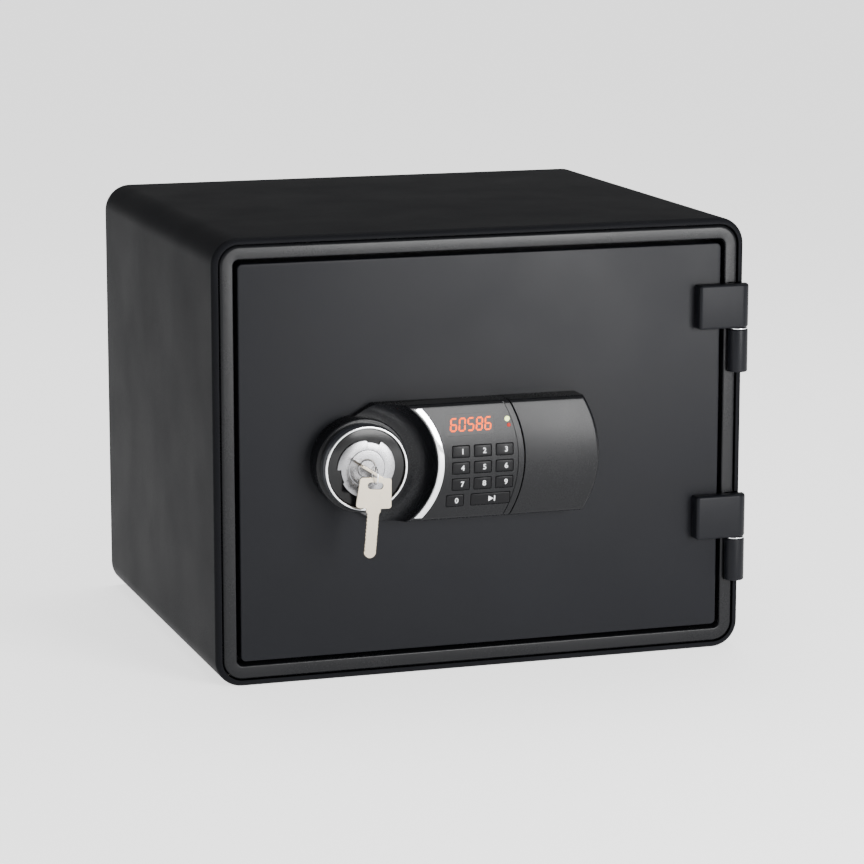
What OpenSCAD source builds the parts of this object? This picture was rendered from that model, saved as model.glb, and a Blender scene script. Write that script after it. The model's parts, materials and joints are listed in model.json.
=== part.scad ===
// In-room safe: insulated steel body, round-edged plug door on two lift-off style
// hinges, key-and-keypad lock with a turning knob that throws three bolts.
// Millimetres, +Z up. The origin is the centre of the base, on the floor.
// The front of the safe faces -Y and the door opens about the hinges on its +X side.

/* [Body] */
// Width of the body
body_w = 448; // [440:1:620]
// Height of the body
body_h = 360; // [330:1:480]
// Depth of the body from the front face to the back
body_d = 374; // [300:1:480]
// Radius of the body's four long edges
corner_r = 22; // [18:0.5:28]
// Thickness of the steel shell
shell_t = 1.5; // [1:0.1:2]
// Rounding of the shell's front edge
lip_r = 4.5; // [3:0.5:5]
// Width of the flat that the shell turns in to at the front
lip_w = 5; // [5:0.5:6]
// Distance from the body's outside to the interior, on all four sides
liner_inset = 60; // [58:1:75]
// Thickness of the insulation behind the interior
back_fill = 51; // [30:1:70]
// Wall of the plastic liner and front frame
plastic_t = 2.5; // [2:0.1:3]

/* [Door] */
// Width of the frame's face round the door, with the shell's lip
rim_w = 17; // [16:0.5:20]
// Gap round the door
door_gap = 3.5; // [3:0.1:5]
// Corner radius of the door
door_r = 4; // [2:0.5:6]
// Thickness of the door's front pan and filling
door_pan_t = 25; // [22:0.5:30]
// Thickness of the door's back plate
back_plate_t = 1.5; // [1:0.1:3]
// Inset of the frame's throat behind the door
throat_inset = 41.5; // [40:0.5:44]
// Gap between the plug on the door and the throat
plug_gap = 8; // [7:0.5:10]
// Depth of the plug behind the door's back plate
plug_d = 39.5; // [38:0.5:42]

/* [Hinges] */
// Distance of the hinge pin from the body's side
pin_inset = 6.1; // [5.5:0.1:7]
// Distance of the hinge pin's axis in front of the front face
pin_front = 3.75; // [3:0.25:4.5]
// Radius of the hinge pin
pin_r = 3; // [2:0.25:3.5]
// Radius of the hinge knuckles
knuckle_r = 8.25; // [7:0.25:9]
// Height of each half of a hinge
leaf_h = 36.5; // [30:0.5:44]
// Reach of the door's hinge leaf from the pin over the door
leaf_w = 37; // [30:1:44]
// Height of the lower hinge's parting above the base
lower_hinge_z = 95; // [80:1:110]
// Distance of the upper hinge's parting below the top
upper_hinge_drop = 90; // [75:1:105]

/* [Lock] */
// Distance of the knob's axis from the door's latch edge
knob_edge = 95.5; // [92:0.5:100]
// Distance of the knob's axis below the middle of the body
lock_drop = 2.5; // [0:0.5:8]
// Outer radius of the bright knob ring
ring_r = 35; // [32:0.5:36]
// Radius of the collar behind the knob
collar_r = 38; // [37:0.5:40]
// Height of the lock housing
housing_h = 94; // [90:1:100]
// Depth of the housing along its top and bottom edges
housing_edge_d = 24; // [23:0.5:26]
// Depth of the housing along its middle
housing_mid_d = 29.5; // [28:0.5:31]
// Distance of the housing's rounded end from the knob's axis
housing_end = 196.5; // [194:0.5:200]
// Distance of the line between keypad and battery cover from the knob's axis
cover_split = 132.5; // [131:0.5:134]
// Radius in plan of the housing's end and of the line at the battery cover
end_arc_r = 100; // [90:1:120]
// Wall of the housing
housing_t = 2.5; // [2:0.1:3]
// Radius of the lock plug
plug_r = 7; // [6:0.25:8]

/* [Keypad] */
// Width of a digit key
key_w = 14.6; // [12:0.1:16]
// Height of a key
key_h = 9.6; // [8:0.1:10.5]
// Width of the start key
start_w = 33; // [30:0.5:35]
// Distance from key to key along a row
key_pitch_x = 18.3; // [18:0.1:19]
// Distance from row to row
key_pitch_z = 13.3; // [13:0.1:14]
// Travel of a key
key_travel = 1.2; // [0.8:0.1:1.5]

/* [Bolts] */
// Radius of a bolt
bolt_r = 8; // [6:0.5:9]
// Distance between neighbouring bolts
bolt_pitch = 70; // [60:1:80]
// Radius of the crank pin's circle
crank_r = 12; // [11:0.5:13]
// Radius of the anchor holes in the floor
anchor_r = 6; // [5:0.5:8]
// Distance between the two anchor holes
anchor_pitch = 200; // [150:5:240]

/* [Clearances] */
// Radial clearance of a running fit
run_fit = 0.05; // [0.02:0.01:0.1]
// Clearance between pieces that move past each other
free_gap = 0.5; // [0.3:0.1:0.8]
// Clearance of a key in its window
key_gap = 0.3; // [0.3:0.05:0.5]

/* [Hidden] */
$fn = 64;

// Colours
satin_black = [0.055, 0.056, 0.062];
moulded_black = [0.07, 0.07, 0.075];
grey_fill = [0.62, 0.60, 0.56];
bright_steel = [0.62, 0.62, 0.64];
chrome_tone = [0.82, 0.83, 0.85];
nickel_tone = [0.78, 0.75, 0.69];

// Cuts run this far past the faces that they break through
past = 1;

// Depths, counted from the front face towards the back
door_t = door_pan_t + back_plate_t;
seal_t = 1.2;
seal_w = 8;
seal_r = 9;
seal_gap = 0.3;
stop_y = door_t + seal_t + seal_gap;
stop_t = plastic_t;
plug_back = door_t + plug_d;
liner_y = plug_back + 4;
liner_back = body_d - shell_t - back_fill;
back_y = body_d - shell_t;

// Insets from the body's outside
groove_w = 0.8;
frame_inset = lip_w + groove_w;
door_inset = rim_w + door_gap;
plug_inset = throat_inset + plug_gap;
throat_r = 10;
plug_corner_r = 8;
liner_r = 12;
frame_face_t = 3;
frame_edge_r = 3;
skirt_d = 20;

// Hinges
hinge_x = body_w / 2 - pin_inset;
hinge_zs = [lower_hinge_z, body_h - upper_hinge_drop];
washer_t = 1;
leaf_gap = 0.3;
leaf_t = pin_front + knuckle_r;
tang_t = 3.3;
tang_x = body_w / 2 - shell_t - tang_t;
tang_back = 45;
hinge_screw_y = 37;
hinge_screw_dz = 10;
hinge_screw_r = 2.5;
hinge_screw_head = 2.4;
hinge_screw_head_r = 4.5;
hinge_pocket_w = 14;
pin_end = 2;

// Lock: x and z are counted from the knob's axis
knob_x = -(body_w / 2 - door_inset - knob_edge);
knob_z = body_h / 2 - lock_drop;
crown_h = housing_mid_d - housing_edge_d;
clear_front = housing_mid_d + 5;
split_half = 0.4;
mouth_x = [-10, 13];
mouth_half_h = collar_r - 4;
crown_r = (pow(housing_h / 2, 2) + pow(crown_h, 2)) / (2 * crown_h);
collar_front = 19;
dish_r = 59;
rim_drop = 1;
arc_inner_r = dish_r + 0.6;
arc_r = 65;
arc_half_h = 44;
arc_back = 22;
arc_proud = 0.8;
dish_rise = dish_r - collar_r;
ring_front = 31;
ring_gap = 0.4;
ring_t = 3;
hub_r = 14;
barrel_r = 11;
barrel_back = 5;
face_r = 15;
face_step = 2.5;
rosette_r = 21;
step_shift = 1.5;
spindle_r = 6;
cable_r = 2;
cable_x = 76;
cable_z = -34;

// Keypad rows and columns
key_x0 = 78.6;
key_z0 = 8.5;
zero_key_x = 74.2;
start_key_x = 104;
flange_rim = 1.1;
flange_t = 1.6;
flange_r = 1.5;
key_corner_r = 0.9;
key_proud = 0.3;
key_stem_w = 4;
board_front = 14;
board_t = 1.6;
board_z = [-40, 36.5];

// Display and lamps
window_x = [66.5, 107];
window_z = [21, 38.5];
window_t = 1.5;
display_front = 24;
lamp_proud = 0.5;
green_x = 118;
green_z = 32.5;
green_r = 2.2;
red_x = 119.2;
red_z = 27.6;
red_r = 1.6;

// Batteries
cell_r = 7.2;
cell_l = 50.5;
cell_pitch = 15.4;
cell_y = 9;
nub_r = 2.7;
nub_h = 1.2;
contact_half_w = 5;
tray_t = 1.5;
contact_t = 0.6;
tray_x0 = cover_split;
contact_x0 = tray_x0 + tray_t;
cell_x0 = contact_x0 + contact_t + 0.1;
cell_x1 = cell_x0 + cell_l;
tray_half_h = 2 * cell_pitch + 1;

// Bolt work behind the door
bolt_y = 46;
bolt_tip = -(body_w / 2 - plug_inset) + 0.5;
guide_x = bolt_tip + 4;
guide_t = 3;
bolt_throw = crank_r * sqrt(2);
bar_x = guide_x + guide_t + bolt_throw + 2;
bar_w = 12;
bar_y0 = 36;
bar_y1 = 56;
tongue_t = 4;
tongue_half_h = 22;
crank_y0 = door_t + 3.5;
crank_t = 4;
crank_pin_r = 3;
slot_gap = 0.5;
plunger_r = 3;
plunger_x = 2;
plunger_tip = -tongue_half_h - 1.5;
notch_gap = 0.4;
notch_d = 6;
solenoid_top = -46;
solenoid_h = 30;
solenoid_w = 24;
dog_zs = [-bolt_pitch, bolt_pitch];
dog_h = 18;
dog_y0 = 40;
dog_y1 = 54;
dog_reach = 8;
dog_gap = 0.3;
keeper_t = 3;
keeper_y0 = stop_y + stop_t + 0.1;
keeper_y1 = 62;
keeper_half_h = bolt_pitch + 2 * bolt_r;
cover_screw_inset = 15;
bolt_window = 2 * bolt_r + 3;
pocket_w = 19;
pocket_gap = 0.2;
dog_l = 42;
dog_foot_w = 18;
dog_room = 4;
bolt_end = 14;
guide_foot_w = 14;
guide_foot_t = 2.5;
bar_end = 12;
bolt_socket = 3;
tongue_end = 28;
solenoid_d = 14;
solenoid_wall = 3;
plunger_seat = 20;
boss_r = 5;
cover_screw_r = 2;
cover_screw_head_r = 4;
sunk_r = 4.5;
sunk_d = 1.5;

// Keys
keyway_tilt = 33;
key_t = 2;
key_blade_w = 8;
key_blade_l = 21;
bow_w = 28;
bow_l = 18.5;
bow_y0 = 33;
strip_w = 3.5;
eye_w = 13;
eye_h = 5.6;
wire_r = 0.8;
wire_ring_r = 7;
bow_front = bow_y0 + bow_l;
hang_y = bow_front + key_t / 2 + 0.6;
hang_drop = 1;
spare_lean = 5;
spare_top = 5;
spare_half_w = [13, 14.5];
spare_head_h = 24;
spare_neck_w = 12;
spare_neck_h = 4;
spare_blade_r = 5;
spare_l = 64;

// ---------------------------------------------------------------- helpers

// Moves a piece placed from the front face to the origin at the base's centre
module from_front() translate([0, -body_d / 2, 0]) children();

// Moves a piece placed from the knob's axis to its place on the door
module at_lock() from_front() translate([knob_x, 0, knob_z]) children();

// Carries a flat outline in X and Z back from y0 to y1
module slab(y0, y1) translate([0, y1, 0]) rotate([90, 0, 0]) linear_extrude(y1 - y0) children();

// Round bar along Y
module rod_y(r, y0, y1) slab(y0, y1) circle(r);

// Round bar along X
module rod_x(r, x0, x1) translate([x0, 0, 0]) rotate([0, 90, 0]) cylinder(r = r, h = x1 - x0);

// Block between two corners
module block(p, q) translate(p) cube(q - p);

// Flat rectangle with round corners, centred
module round_rect(w, h, r) {
    square([w - 2 * r, h], center = true);
    square([w, h - 2 * r], center = true);
    for (sx = [-1, 1], sz = [-1, 1])
        translate([sx * (w / 2 - r), sz * (h / 2 - r)]) circle(r);
}

// The body's outline drawn in by an inset
module inset_rect(inset, r)
    translate([0, body_h / 2]) round_rect(body_w - 2 * inset, body_h - 2 * inset, r);

// Ring between two insets
module inset_ring(outer, outer_r, inner, inner_r)
    difference() {
        inset_rect(outer, outer_r);
        inset_rect(inner, inner_r);
    }

// Sweeps a profile round the body's outline. The profile's x is counted outwards
// from the corner arcs' centres, and its y is the depth behind the front face.
module swept_round()
    translate([0, 0, body_h / 2])
        for (i = [0:3]) {
            reach = (i % 2 == 0 ? body_w : body_h) / 2 - corner_r;
            run = (i % 2 == 0 ? body_h : body_w) - 2 * corner_r;
            rotate([0, -90 * i, 0]) translate([reach, 0, 0]) {
                translate([0, 0, -run / 2]) linear_extrude(run) children();
                translate([0, 0, run / 2]) rotate([-90, 0, 0]) rotate([0, 0, -90])
                    rotate_extrude(angle = 90) children();
            }
        }

// A quarter of a disc, the front outer one, with its centre at the origin
module front_quarter(r)
    intersection() {
        circle(r);
        translate([0, -r]) square(r);
    }

// The room that both halves of each hinge take out of the shell and frame
module hinge_notches()
    for (z = hinge_zs) {
        translate([hinge_x, -pin_front, z - leaf_h - free_gap])
            cylinder(r = knuckle_r + free_gap, h = 2 * leaf_h + 2 * free_gap);
        block([tang_x - 0.2, -past, z - leaf_h], [tang_x + tang_t, lip_r + 1, z]);
    }

// ---------------------------------------------------------------- body

// Steel wrap with its front edge rolled inwards
module outer_shell()
    color(satin_black) from_front() difference() {
        union() {
            slab(lip_r, body_d) inset_ring(0, corner_r, shell_t, corner_r - shell_t);
            swept_round() {
                translate([corner_r - lip_r, lip_r]) difference() {
                    front_quarter(lip_r);
                    circle(lip_r - shell_t);
                }
                translate([corner_r - lip_w, 0]) square([lip_w - lip_r + 0.01, shell_t]);
            }
        }
        hinge_notches();
        anchor_places() cylinder(r = anchor_r, h = shell_t + 2 * past);
    }

// Both anchor holes' places, starting just below the base
module anchor_places()
    for (s = [-1, 1])
        translate([s * anchor_pitch / 2, body_d / 2, -past]) children();

// Steel sheet that closes the back, inside the wrap
module back_panel()
    color(satin_black) from_front()
        slab(back_y, body_d) inset_rect(shell_t, corner_r - shell_t);

// One moulding: face round the door, rebate, stop face and throat
module front_frame()
    color(moulded_black) from_front() difference() {
        union() {
            swept_round() frame_profile();
            slab(stop_y, stop_y + stop_t)
                inset_ring(rim_w - plastic_t, corner_r - rim_w + plastic_t, throat_inset, throat_r);
            slab(stop_y, liner_y)
                inset_ring(throat_inset - plastic_t, throat_r + plastic_t, throat_inset, throat_r);
            slab(liner_y - plastic_t, liner_y)
                inset_ring(throat_inset - plastic_t, throat_r + plastic_t, liner_inset, liner_r);
        }
        hinge_notches();
        bolt_windows();
        dog_windows();
    }

// Face with a rounded outer edge, outer skirt and the rebate's wall
module frame_profile() {
    outer = corner_r - frame_inset;
    inner = corner_r - rim_w;
    translate([inner, 0]) square([outer - inner - frame_edge_r, frame_face_t]);
    translate([outer - frame_edge_r, frame_edge_r]) front_quarter(frame_edge_r);
    translate([outer - plastic_t, frame_edge_r]) square([plastic_t, skirt_d - frame_edge_r]);
    translate([inner, 0]) square([plastic_t, stop_y + stop_t]);
}

// Room for the three bolts through the throat's wall and the keeper plate
module bolt_windows()
    for (i = [-1:1])
        translate([throat_inset - body_w / 2, bolt_y, knob_z + i * bolt_pitch])
            block([-pocket_w, -bolt_window / 2, -bolt_window / 2],
                  [past, bolt_window / 2, bolt_window / 2]);

// Room for the fixed dogs through the throat's wall, with space for their swing
module dog_windows()
    for (z = dog_zs)
        block([body_w / 2 - throat_inset - past, stop_y + stop_t, knob_z + z - dog_h / 2 - 2],
              [body_w / 2 - throat_inset + plastic_t + past, dog_y1 + dog_room,
               knob_z + z + dog_h / 2 + 2]);

// Cast filling between the shell and the liner
module body_insulation()
    color(grey_fill) from_front() difference() {
        slab(stop_y + stop_t, back_y) inset_rect(shell_t, corner_r - shell_t);
        slab(stop_y + stop_t - past, liner_y) inset_rect(throat_inset - plastic_t, throat_r + plastic_t);
        slab(liner_y - past, liner_back + plastic_t)
            inset_rect(liner_inset - plastic_t, liner_r + plastic_t);
        keeper_pockets();
        for (z = hinge_zs)
            block([body_w / 2 - shell_t - hinge_pocket_w, stop_y, z - leaf_h - 1],
                  [body_w / 2, tang_back + 2, z + 1]);
        anchor_places() cylinder(r = anchor_r + 2, h = liner_inset + 2 * past);
    }

// Hollows in the filling behind the keeper plates
module keeper_pockets()
    for (s = [-1, 1])
        translate([s * (body_w / 2 - throat_inset + pocket_w / 2 - past),
                   (keeper_y0 + keeper_y1) / 2, knob_z])
            cube([pocket_w, keeper_y1 - keeper_y0 + 2 * pocket_gap,
                  2 * (keeper_half_h + pocket_gap)], center = true);

// Plastic liner of the interior
module inner_liner()
    color(moulded_black) from_front() difference() {
        union() {
            slab(liner_y, liner_back) inset_ring(
                liner_inset - plastic_t, liner_r + plastic_t, liner_inset, liner_r);
            slab(liner_back, liner_back + plastic_t)
                inset_rect(liner_inset - plastic_t, liner_r + plastic_t);
        }
        anchor_places() cylinder(r = anchor_r, h = liner_inset + 2 * past);
    }

// Steel tubes that line the anchor holes through the filling
module anchor_sleeves()
    color(bright_steel) from_front() anchor_places() translate([0, 0, past + shell_t])
        difference() {
            cylinder(r = anchor_r + 2, h = liner_inset - plastic_t - shell_t);
            translate([0, 0, -past]) cylinder(r = anchor_r, h = liner_inset + past);
        }

// Steel plates behind the throat's walls: one takes the bolts, one the dogs
module keeper_plates()
    color(bright_steel) from_front() {
        x0 = body_w / 2 - throat_inset + plastic_t + pocket_gap;
        difference() {
            block([-x0 - keeper_t, keeper_y0, knob_z - keeper_half_h],
                  [-x0, keeper_y1, knob_z + keeper_half_h]);
            bolt_windows();
        }
        difference() {
            block([x0, keeper_y0, knob_z - keeper_half_h],
                  [x0 + keeper_t, keeper_y1, knob_z + keeper_half_h]);
            for (z = dog_zs)
                block([x0 - past, keeper_y0 + plastic_t, knob_z + z - dog_h / 2 - 1],
                      [x0 + keeper_t + past, dog_y1 + dog_room, knob_z + z + dog_h / 2 + 1]);
        }
    }

// Lower half of each hinge: knuckle with a tang along the shell's inner side
module hinge_knuckles()
    color(satin_black) from_front()
        for (z = hinge_zs) {
            z0 = z - leaf_h;
            h = leaf_h - washer_t;
            difference() {
                union() {
                    translate([hinge_x, -pin_front, z0]) cylinder(r = knuckle_r, h = h);
                    block([tang_x, -pin_front, z0], [tang_x + tang_t, tang_back, z0 + h]);
                }
                translate([hinge_x, -pin_front, z0 + pin_end]) cylinder(r = pin_r, h = h);
                for (s = [-1, 1])
                    translate([tang_x - past, hinge_screw_y, z0 + h / 2 + s * hinge_screw_dz])
                        rod_x(hinge_screw_r, 0, tang_t + 2 * past);
            }
        }

// Pins, pressed into the lower halves
module hinge_pins()
    color(bright_steel) from_front()
        for (z = hinge_zs)
            translate([hinge_x, -pin_front, z - leaf_h + pin_end])
                cylinder(r = pin_r, h = 2 * (leaf_h - pin_end));

// Bright washers between the hinge halves
module hinge_washers()
    color(chrome_tone) from_front()
        for (z = hinge_zs)
            translate([hinge_x, -pin_front, z - washer_t]) difference() {
                cylinder(r = knuckle_r - 1, h = washer_t);
                translate([0, 0, -past]) cylinder(r = pin_r, h = washer_t + 2 * past);
            }

// Screws through the tangs, with their heads inside
module hinge_screws()
    color(bright_steel) from_front()
        for (z = hinge_zs, s = [-1, 1])
            translate([tang_x, hinge_screw_y,
                       z - leaf_h + (leaf_h - washer_t) / 2 + s * hinge_screw_dz]) {
                rod_x(hinge_screw_r, 0, tang_t);
                rod_x(hinge_screw_head_r, -hinge_screw_head, 0);
            }

// ---------------------------------------------------------------- door

// Steel front pan of the door
module door_panel()
    color(satin_black) from_front() difference() {
        slab(0, door_pan_t) inset_rect(door_inset, door_r);
        slab(shell_t, door_pan_t + past) inset_rect(door_inset + shell_t, door_r - shell_t);
        translate([knob_x, 0, knob_z]) {
            rod_y(spindle_r + 1, -past, shell_t + past);
            translate([cable_x, 0, cable_z]) rod_y(cable_r + 2, -past, shell_t + past);
        }
    }

// Fill inside the door pan
module door_insulation()
    color(grey_fill) from_front() difference() {
        slab(shell_t, door_pan_t) inset_rect(door_inset + shell_t, door_r - shell_t);
        translate([knob_x, 0, knob_z]) {
            rod_y(spindle_r + 1, 0, door_pan_t + past);
            translate([cable_x, 0, cable_z]) rod_y(cable_r + 2, 0, door_pan_t + past);
        }
    }

// Steel plate that closes the pan and bears the spindle
module door_back_plate()
    color(satin_black) from_front() difference() {
        slab(door_pan_t, door_t) inset_rect(door_inset, door_r);
        translate([knob_x, 0, knob_z]) {
            rod_y(spindle_r + run_fit, door_pan_t - past, door_t + past);
            translate([cable_x, 0, cable_z]) rod_y(cable_r + 2, door_pan_t - past, door_t + past);
        }
    }

// Places of the inner cover's screws
module cover_screw_places() {
    inset = plug_inset + cover_screw_inset;
    for (sx = [-1, 1], z = [inset, body_h - inset])
        translate([sx * (body_w / 2 - inset), 0, z]) children();
}

// Plastic cover over the bolt work: the plug that fills the throat
module door_inner_cover()
    color(moulded_black) from_front() difference() {
        union() {
            slab(door_t, plug_back - plastic_t) inset_ring(
                plug_inset, plug_corner_r, plug_inset + plastic_t, plug_corner_r - plastic_t);
            slab(plug_back - plastic_t, plug_back) inset_rect(plug_inset, plug_corner_r);
            cover_screw_places() rod_y(boss_r, door_t, plug_back - plastic_t);
        }
        cover_screw_places() {
            rod_y(cover_screw_r, door_t - past, plug_back + past);
            rod_y(sunk_r, plug_back - sunk_d, plug_back + past);
        }
        translate([-body_w / 2 + plug_inset, bolt_y, knob_z])
            for (i = [-1:1])
                translate([0, 0, i * bolt_pitch]) rod_x(bolt_r + 0.7, -past, plastic_t + past);
        for (z = dog_zs)
            block([body_w / 2 - plug_inset - plastic_t - past, dog_y0 - dog_gap,
                   knob_z + z - dog_h / 2 - dog_gap],
                  [body_w / 2 - plug_inset + past, dog_y1 + dog_gap,
                   knob_z + z + dog_h / 2 + dog_gap]);
    }

// Rubber gasket on the back plate, opposite the stop face
module door_seal()
    color([0.12, 0.12, 0.12]) from_front()
        slab(door_t, door_t + seal_t) {
            mid = (rim_w + throat_inset) / 2;
            inset_ring(mid - seal_w / 2, seal_r, mid + seal_w / 2, seal_r);
        }

// Upper half of each hinge, on the door
module hinge_leaves()
    color(satin_black) from_front()
        for (z = hinge_zs) {
            z0 = z + leaf_gap;
            h = leaf_h - leaf_gap;
            face_x = body_w / 2 - door_inset;
            difference() {
                union() {
                    translate([hinge_x, -pin_front, z0]) cylinder(r = knuckle_r, h = h);
                    block([hinge_x - leaf_w, -leaf_t, z0], [hinge_x, -free_gap, z0 + h]);
                    block([hinge_x - leaf_w, -leaf_t, z0], [face_x - 1, 0, z0 + h]);
                }
                translate([hinge_x, -pin_front, z0 - past])
                    cylinder(r = pin_r + run_fit, h = leaf_h - pin_end + past);
            }
        }

// Steel dogs on the hinge side that hook behind the frame
module fixed_dogs()
    color(bright_steel) from_front()
        for (z = dog_zs) {
            x1 = body_w / 2 - throat_inset + dog_reach;
            z0 = knob_z + z - dog_h / 2;
            block([x1 - dog_l, dog_y0, z0], [x1, dog_y1, z0 + dog_h]);
            block([x1 - dog_l, door_t, z0],
                  [x1 - dog_l + dog_foot_w, dog_y0 + 0.5, z0 + dog_h]);
        }

// Angle plate with the three bores that the bolts run in
module bolt_guide()
    color(bright_steel) from_front() difference() {
        union() {
            block([guide_x, door_t, knob_z - bolt_pitch - bolt_end],
                  [guide_x + guide_t, bolt_y + bolt_end, knob_z + bolt_pitch + bolt_end]);
            block([guide_x, door_t, knob_z - bolt_pitch - bolt_end],
                  [guide_x + guide_foot_w, door_t + guide_foot_t, knob_z + bolt_pitch + bolt_end]);
        }
        for (i = [-1:1])
            translate([guide_x, bolt_y, knob_z + i * bolt_pitch])
                rod_x(bolt_r + run_fit, -past, guide_t + past);
    }

// Screws of the inner cover, heads sunk in its back
module cover_screws()
    color(bright_steel) from_front()
        cover_screw_places() {
            rod_y(cover_screw_r, door_t, plug_back - sunk_d);
            rod_y(cover_screw_head_r, plug_back - sunk_d, plug_back - 0.2);
        }

// ---------------------------------------------------------------- lock housing

// Solid under the housing's crowned front, swollen by grow all over its front
module crowned(grow)
    intersection() {
        translate([-collar_r, 0, 0]) rotate([0, 90, 0])
            linear_extrude(housing_end + 3 * collar_r)
                translate([0, crown_r - housing_mid_d]) circle(crown_r + grow, $fn = 720);
        block([-collar_r, -clear_front, -housing_h / 2 - past],
              [housing_end + collar_r, 0, housing_h / 2 + past]);
    }

// Half-plane left of an arc whose middle is at x
module left_of_arc(x) {
    translate([x - end_arc_r, 0]) circle(end_arc_r, $fn = 360);
    translate([x - 2 * end_arc_r, -housing_h]) square([end_arc_r, 2 * housing_h]);
}

// Outline of the housing, drawn in by an inset, up to an arc with its middle at x
module housing_outline(x, inset)
    intersection() {
        half = housing_h / 2 - inset;
        x1 = housing_end + past;
        polygon([[mouth_x[0], -mouth_half_h], [mouth_x[1], -half], [x1, -half],
                 [x1, half], [mouth_x[1], half], [mouth_x[0], mouth_half_h]]);
        left_of_arc(x - inset);
    }

// Bowl round the knob that the housing is hollowed by
module dish()
    translate([0, -housing_mid_d + rim_drop, 0]) rotate([-90, 0, 0]) rotate_extrude() {
        translate([0, -rim_drop - past]) square([dish_r, rim_drop + past]);
        square([collar_r, dish_rise]);
        translate([collar_r, 0]) intersection() {
            circle(dish_rise);
            square(dish_rise);
        }
    }

// Strip between two radii round the knob, where the bright arc sits
module arc_band()
    intersection() {
        slab(-clear_front, -arc_back) difference() {
            circle(arc_r);
            circle(arc_inner_r);
        }
        block([0, -clear_front - past, -arc_half_h], [arc_r + past, 0, arc_half_h]);
    }

// Place, width and front of each key
digit_keys = [for (row = [0:2], col = [0:2])
    [key_x0 + col * key_pitch_x, key_z0 - row * key_pitch_z, key_w]];
bottom_row_z = key_z0 - 3 * key_pitch_z;
zero_key = [zero_key_x, bottom_row_z, key_w];
start_key = [start_key_x, bottom_row_z, start_w];
all_keys = concat([zero_key], digit_keys, [start_key]);

// Moulded housing of the keypad and display, with the battery tray
module lock_housing()
    color(moulded_black) at_lock() {
        difference() {
            intersection() {
                crowned(0);
                slab(-clear_front, 0) housing_outline(cover_split - split_half, 0);
            }
            housing_hollow();
            dish();
            rod_y(collar_r, -collar_front - 20, past);
            arc_band();
            slab(-clear_front, -5) {
                for (k = all_keys)
                    translate([k[0], k[1]])
                        round_rect(k[2] + 2 * key_gap, key_h + 2 * key_gap, key_corner_r + key_gap);
                window_outline(0);
                translate([green_x, green_z]) circle(green_r);
                translate([red_x, red_z]) circle(red_r);
            }
        }
        battery_tray();
    }

// Hollow of the housing behind its front wall
module housing_hollow()
    difference() {
        intersection() {
            crowned(-housing_t);
            slab(-housing_mid_d, past) housing_outline(cover_split - split_half, housing_t);
        }
        rod_y(arc_r + housing_t, -clear_front, past);
    }

// Base with two end walls that holds the cells
module battery_tray() {
    block([tray_x0 - 2, -tray_t, -tray_half_h], [cell_x1 + contact_t + tray_t, 0, tray_half_h]);
    for (x = [tray_x0, cell_x1 + contact_t + 0.1])
        block([x, -2 * cell_y, -tray_half_h], [x + tray_t, 0, tray_half_h]);
}

// Outline of the display window
module window_outline(gap)
    translate([(window_x[0] + window_x[1]) / 2, (window_z[0] + window_z[1]) / 2])
        round_rect(window_x[1] - window_x[0] - 2 * gap, window_z[1] - window_z[0] - 2 * gap, 1.5);

// Fixed collar that the knob stands in
module knob_collar()
    color(moulded_black) at_lock() difference() {
        rod_y(collar_r, -collar_front, 0);
        rod_y(hub_r + 1, -collar_front - past, past);
    }

// Bright arc along the edge of the dish
module chrome_arc()
    color(chrome_tone) at_lock() intersection() {
        crowned(arc_proud);
        arc_band();
    }

// Dark window over the display, flush with the housing
module display_window()
    color([0.10, 0.03, 0.03]) at_lock() difference() {
        intersection() {
            crowned(0);
            slab(-clear_front, -5) window_outline(0);
        }
        crowned(-window_t);
    }

// Seven-segment display behind the window
module display_module()
    color([0.55, 0.12, 0.08]) at_lock()
        block([window_x[0] + 1.5, -display_front, window_z[0] + 1.5],
              [window_x[1] - 1.5, -board_front, window_z[1] - 3.5]);

// Lamp through the housing's front, standing on the board
module lamp(x, z, r)
    translate([x, 0, z]) intersection() {
        rod_y(r, -clear_front, -board_front);
        translate([-x, 0, -z]) crowned(lamp_proud);
    }

module green_led() color([0.55, 0.85, 0.25]) at_lock() lamp(green_x, green_z, green_r);
module red_led() color([0.75, 0.12, 0.08]) at_lock() lamp(red_x, red_z, red_r);

// Board behind the keys
module circuit_board()
    color([0.10, 0.32, 0.16]) at_lock()
        difference() {
            block([arc_r + housing_t + 1, -board_front, board_z[0]],
                  [cover_split - 16, -board_front + board_t, board_z[1]]);
            rod_y(arc_r + housing_t + 0.5, -housing_mid_d, 0);
        }

// Four cells, side by side
module batteries()
    color([0.80, 0.55, 0.20]) at_lock()
        for (i = [0:3])
            translate([0, -cell_y, (i - 1.5) * cell_pitch]) {
                rod_x(cell_r, cell_x0, cell_x1 - nub_h);
                rod_x(nub_r, cell_x1 - nub_h, cell_x1);
            }

// Contact strips at both ends of the cells
module battery_contacts()
    color(bright_steel) at_lock()
        for (x = [contact_x0, cell_x1 + 0.1])
            block([x, -cell_y - contact_half_w, -tray_half_h + 3],
                  [x + contact_t, -cell_y + contact_half_w, tray_half_h - 3]);

// Sliding cover over the cells, with the housing's rounded end
module battery_cover()
    color(moulded_black) at_lock() difference() {
        intersection() {
            crowned(0);
            slab(-clear_front, -leaf_gap) difference() {
                housing_outline(housing_end, 0);
                left_of_arc(cover_split + split_half);
            }
        }
        intersection() {
            crowned(-housing_t);
            slab(-housing_mid_d, past) housing_outline(housing_end, housing_t);
        }
    }

// ---------------------------------------------------------------- knob and lock

// Black knob inside the bright ring, with its hub
module knob_body()
    color(moulded_black) at_lock() difference() {
        union() {
            rod_y(ring_r - ring_t, -ring_front + face_step, -collar_front - ring_gap);
            rod_y(hub_r, -collar_front - ring_gap - past, -3);
        }
        rod_y(barrel_r, -ring_front, -barrel_back);
        rod_y(spindle_r, -barrel_back - past, 0);
    }

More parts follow.
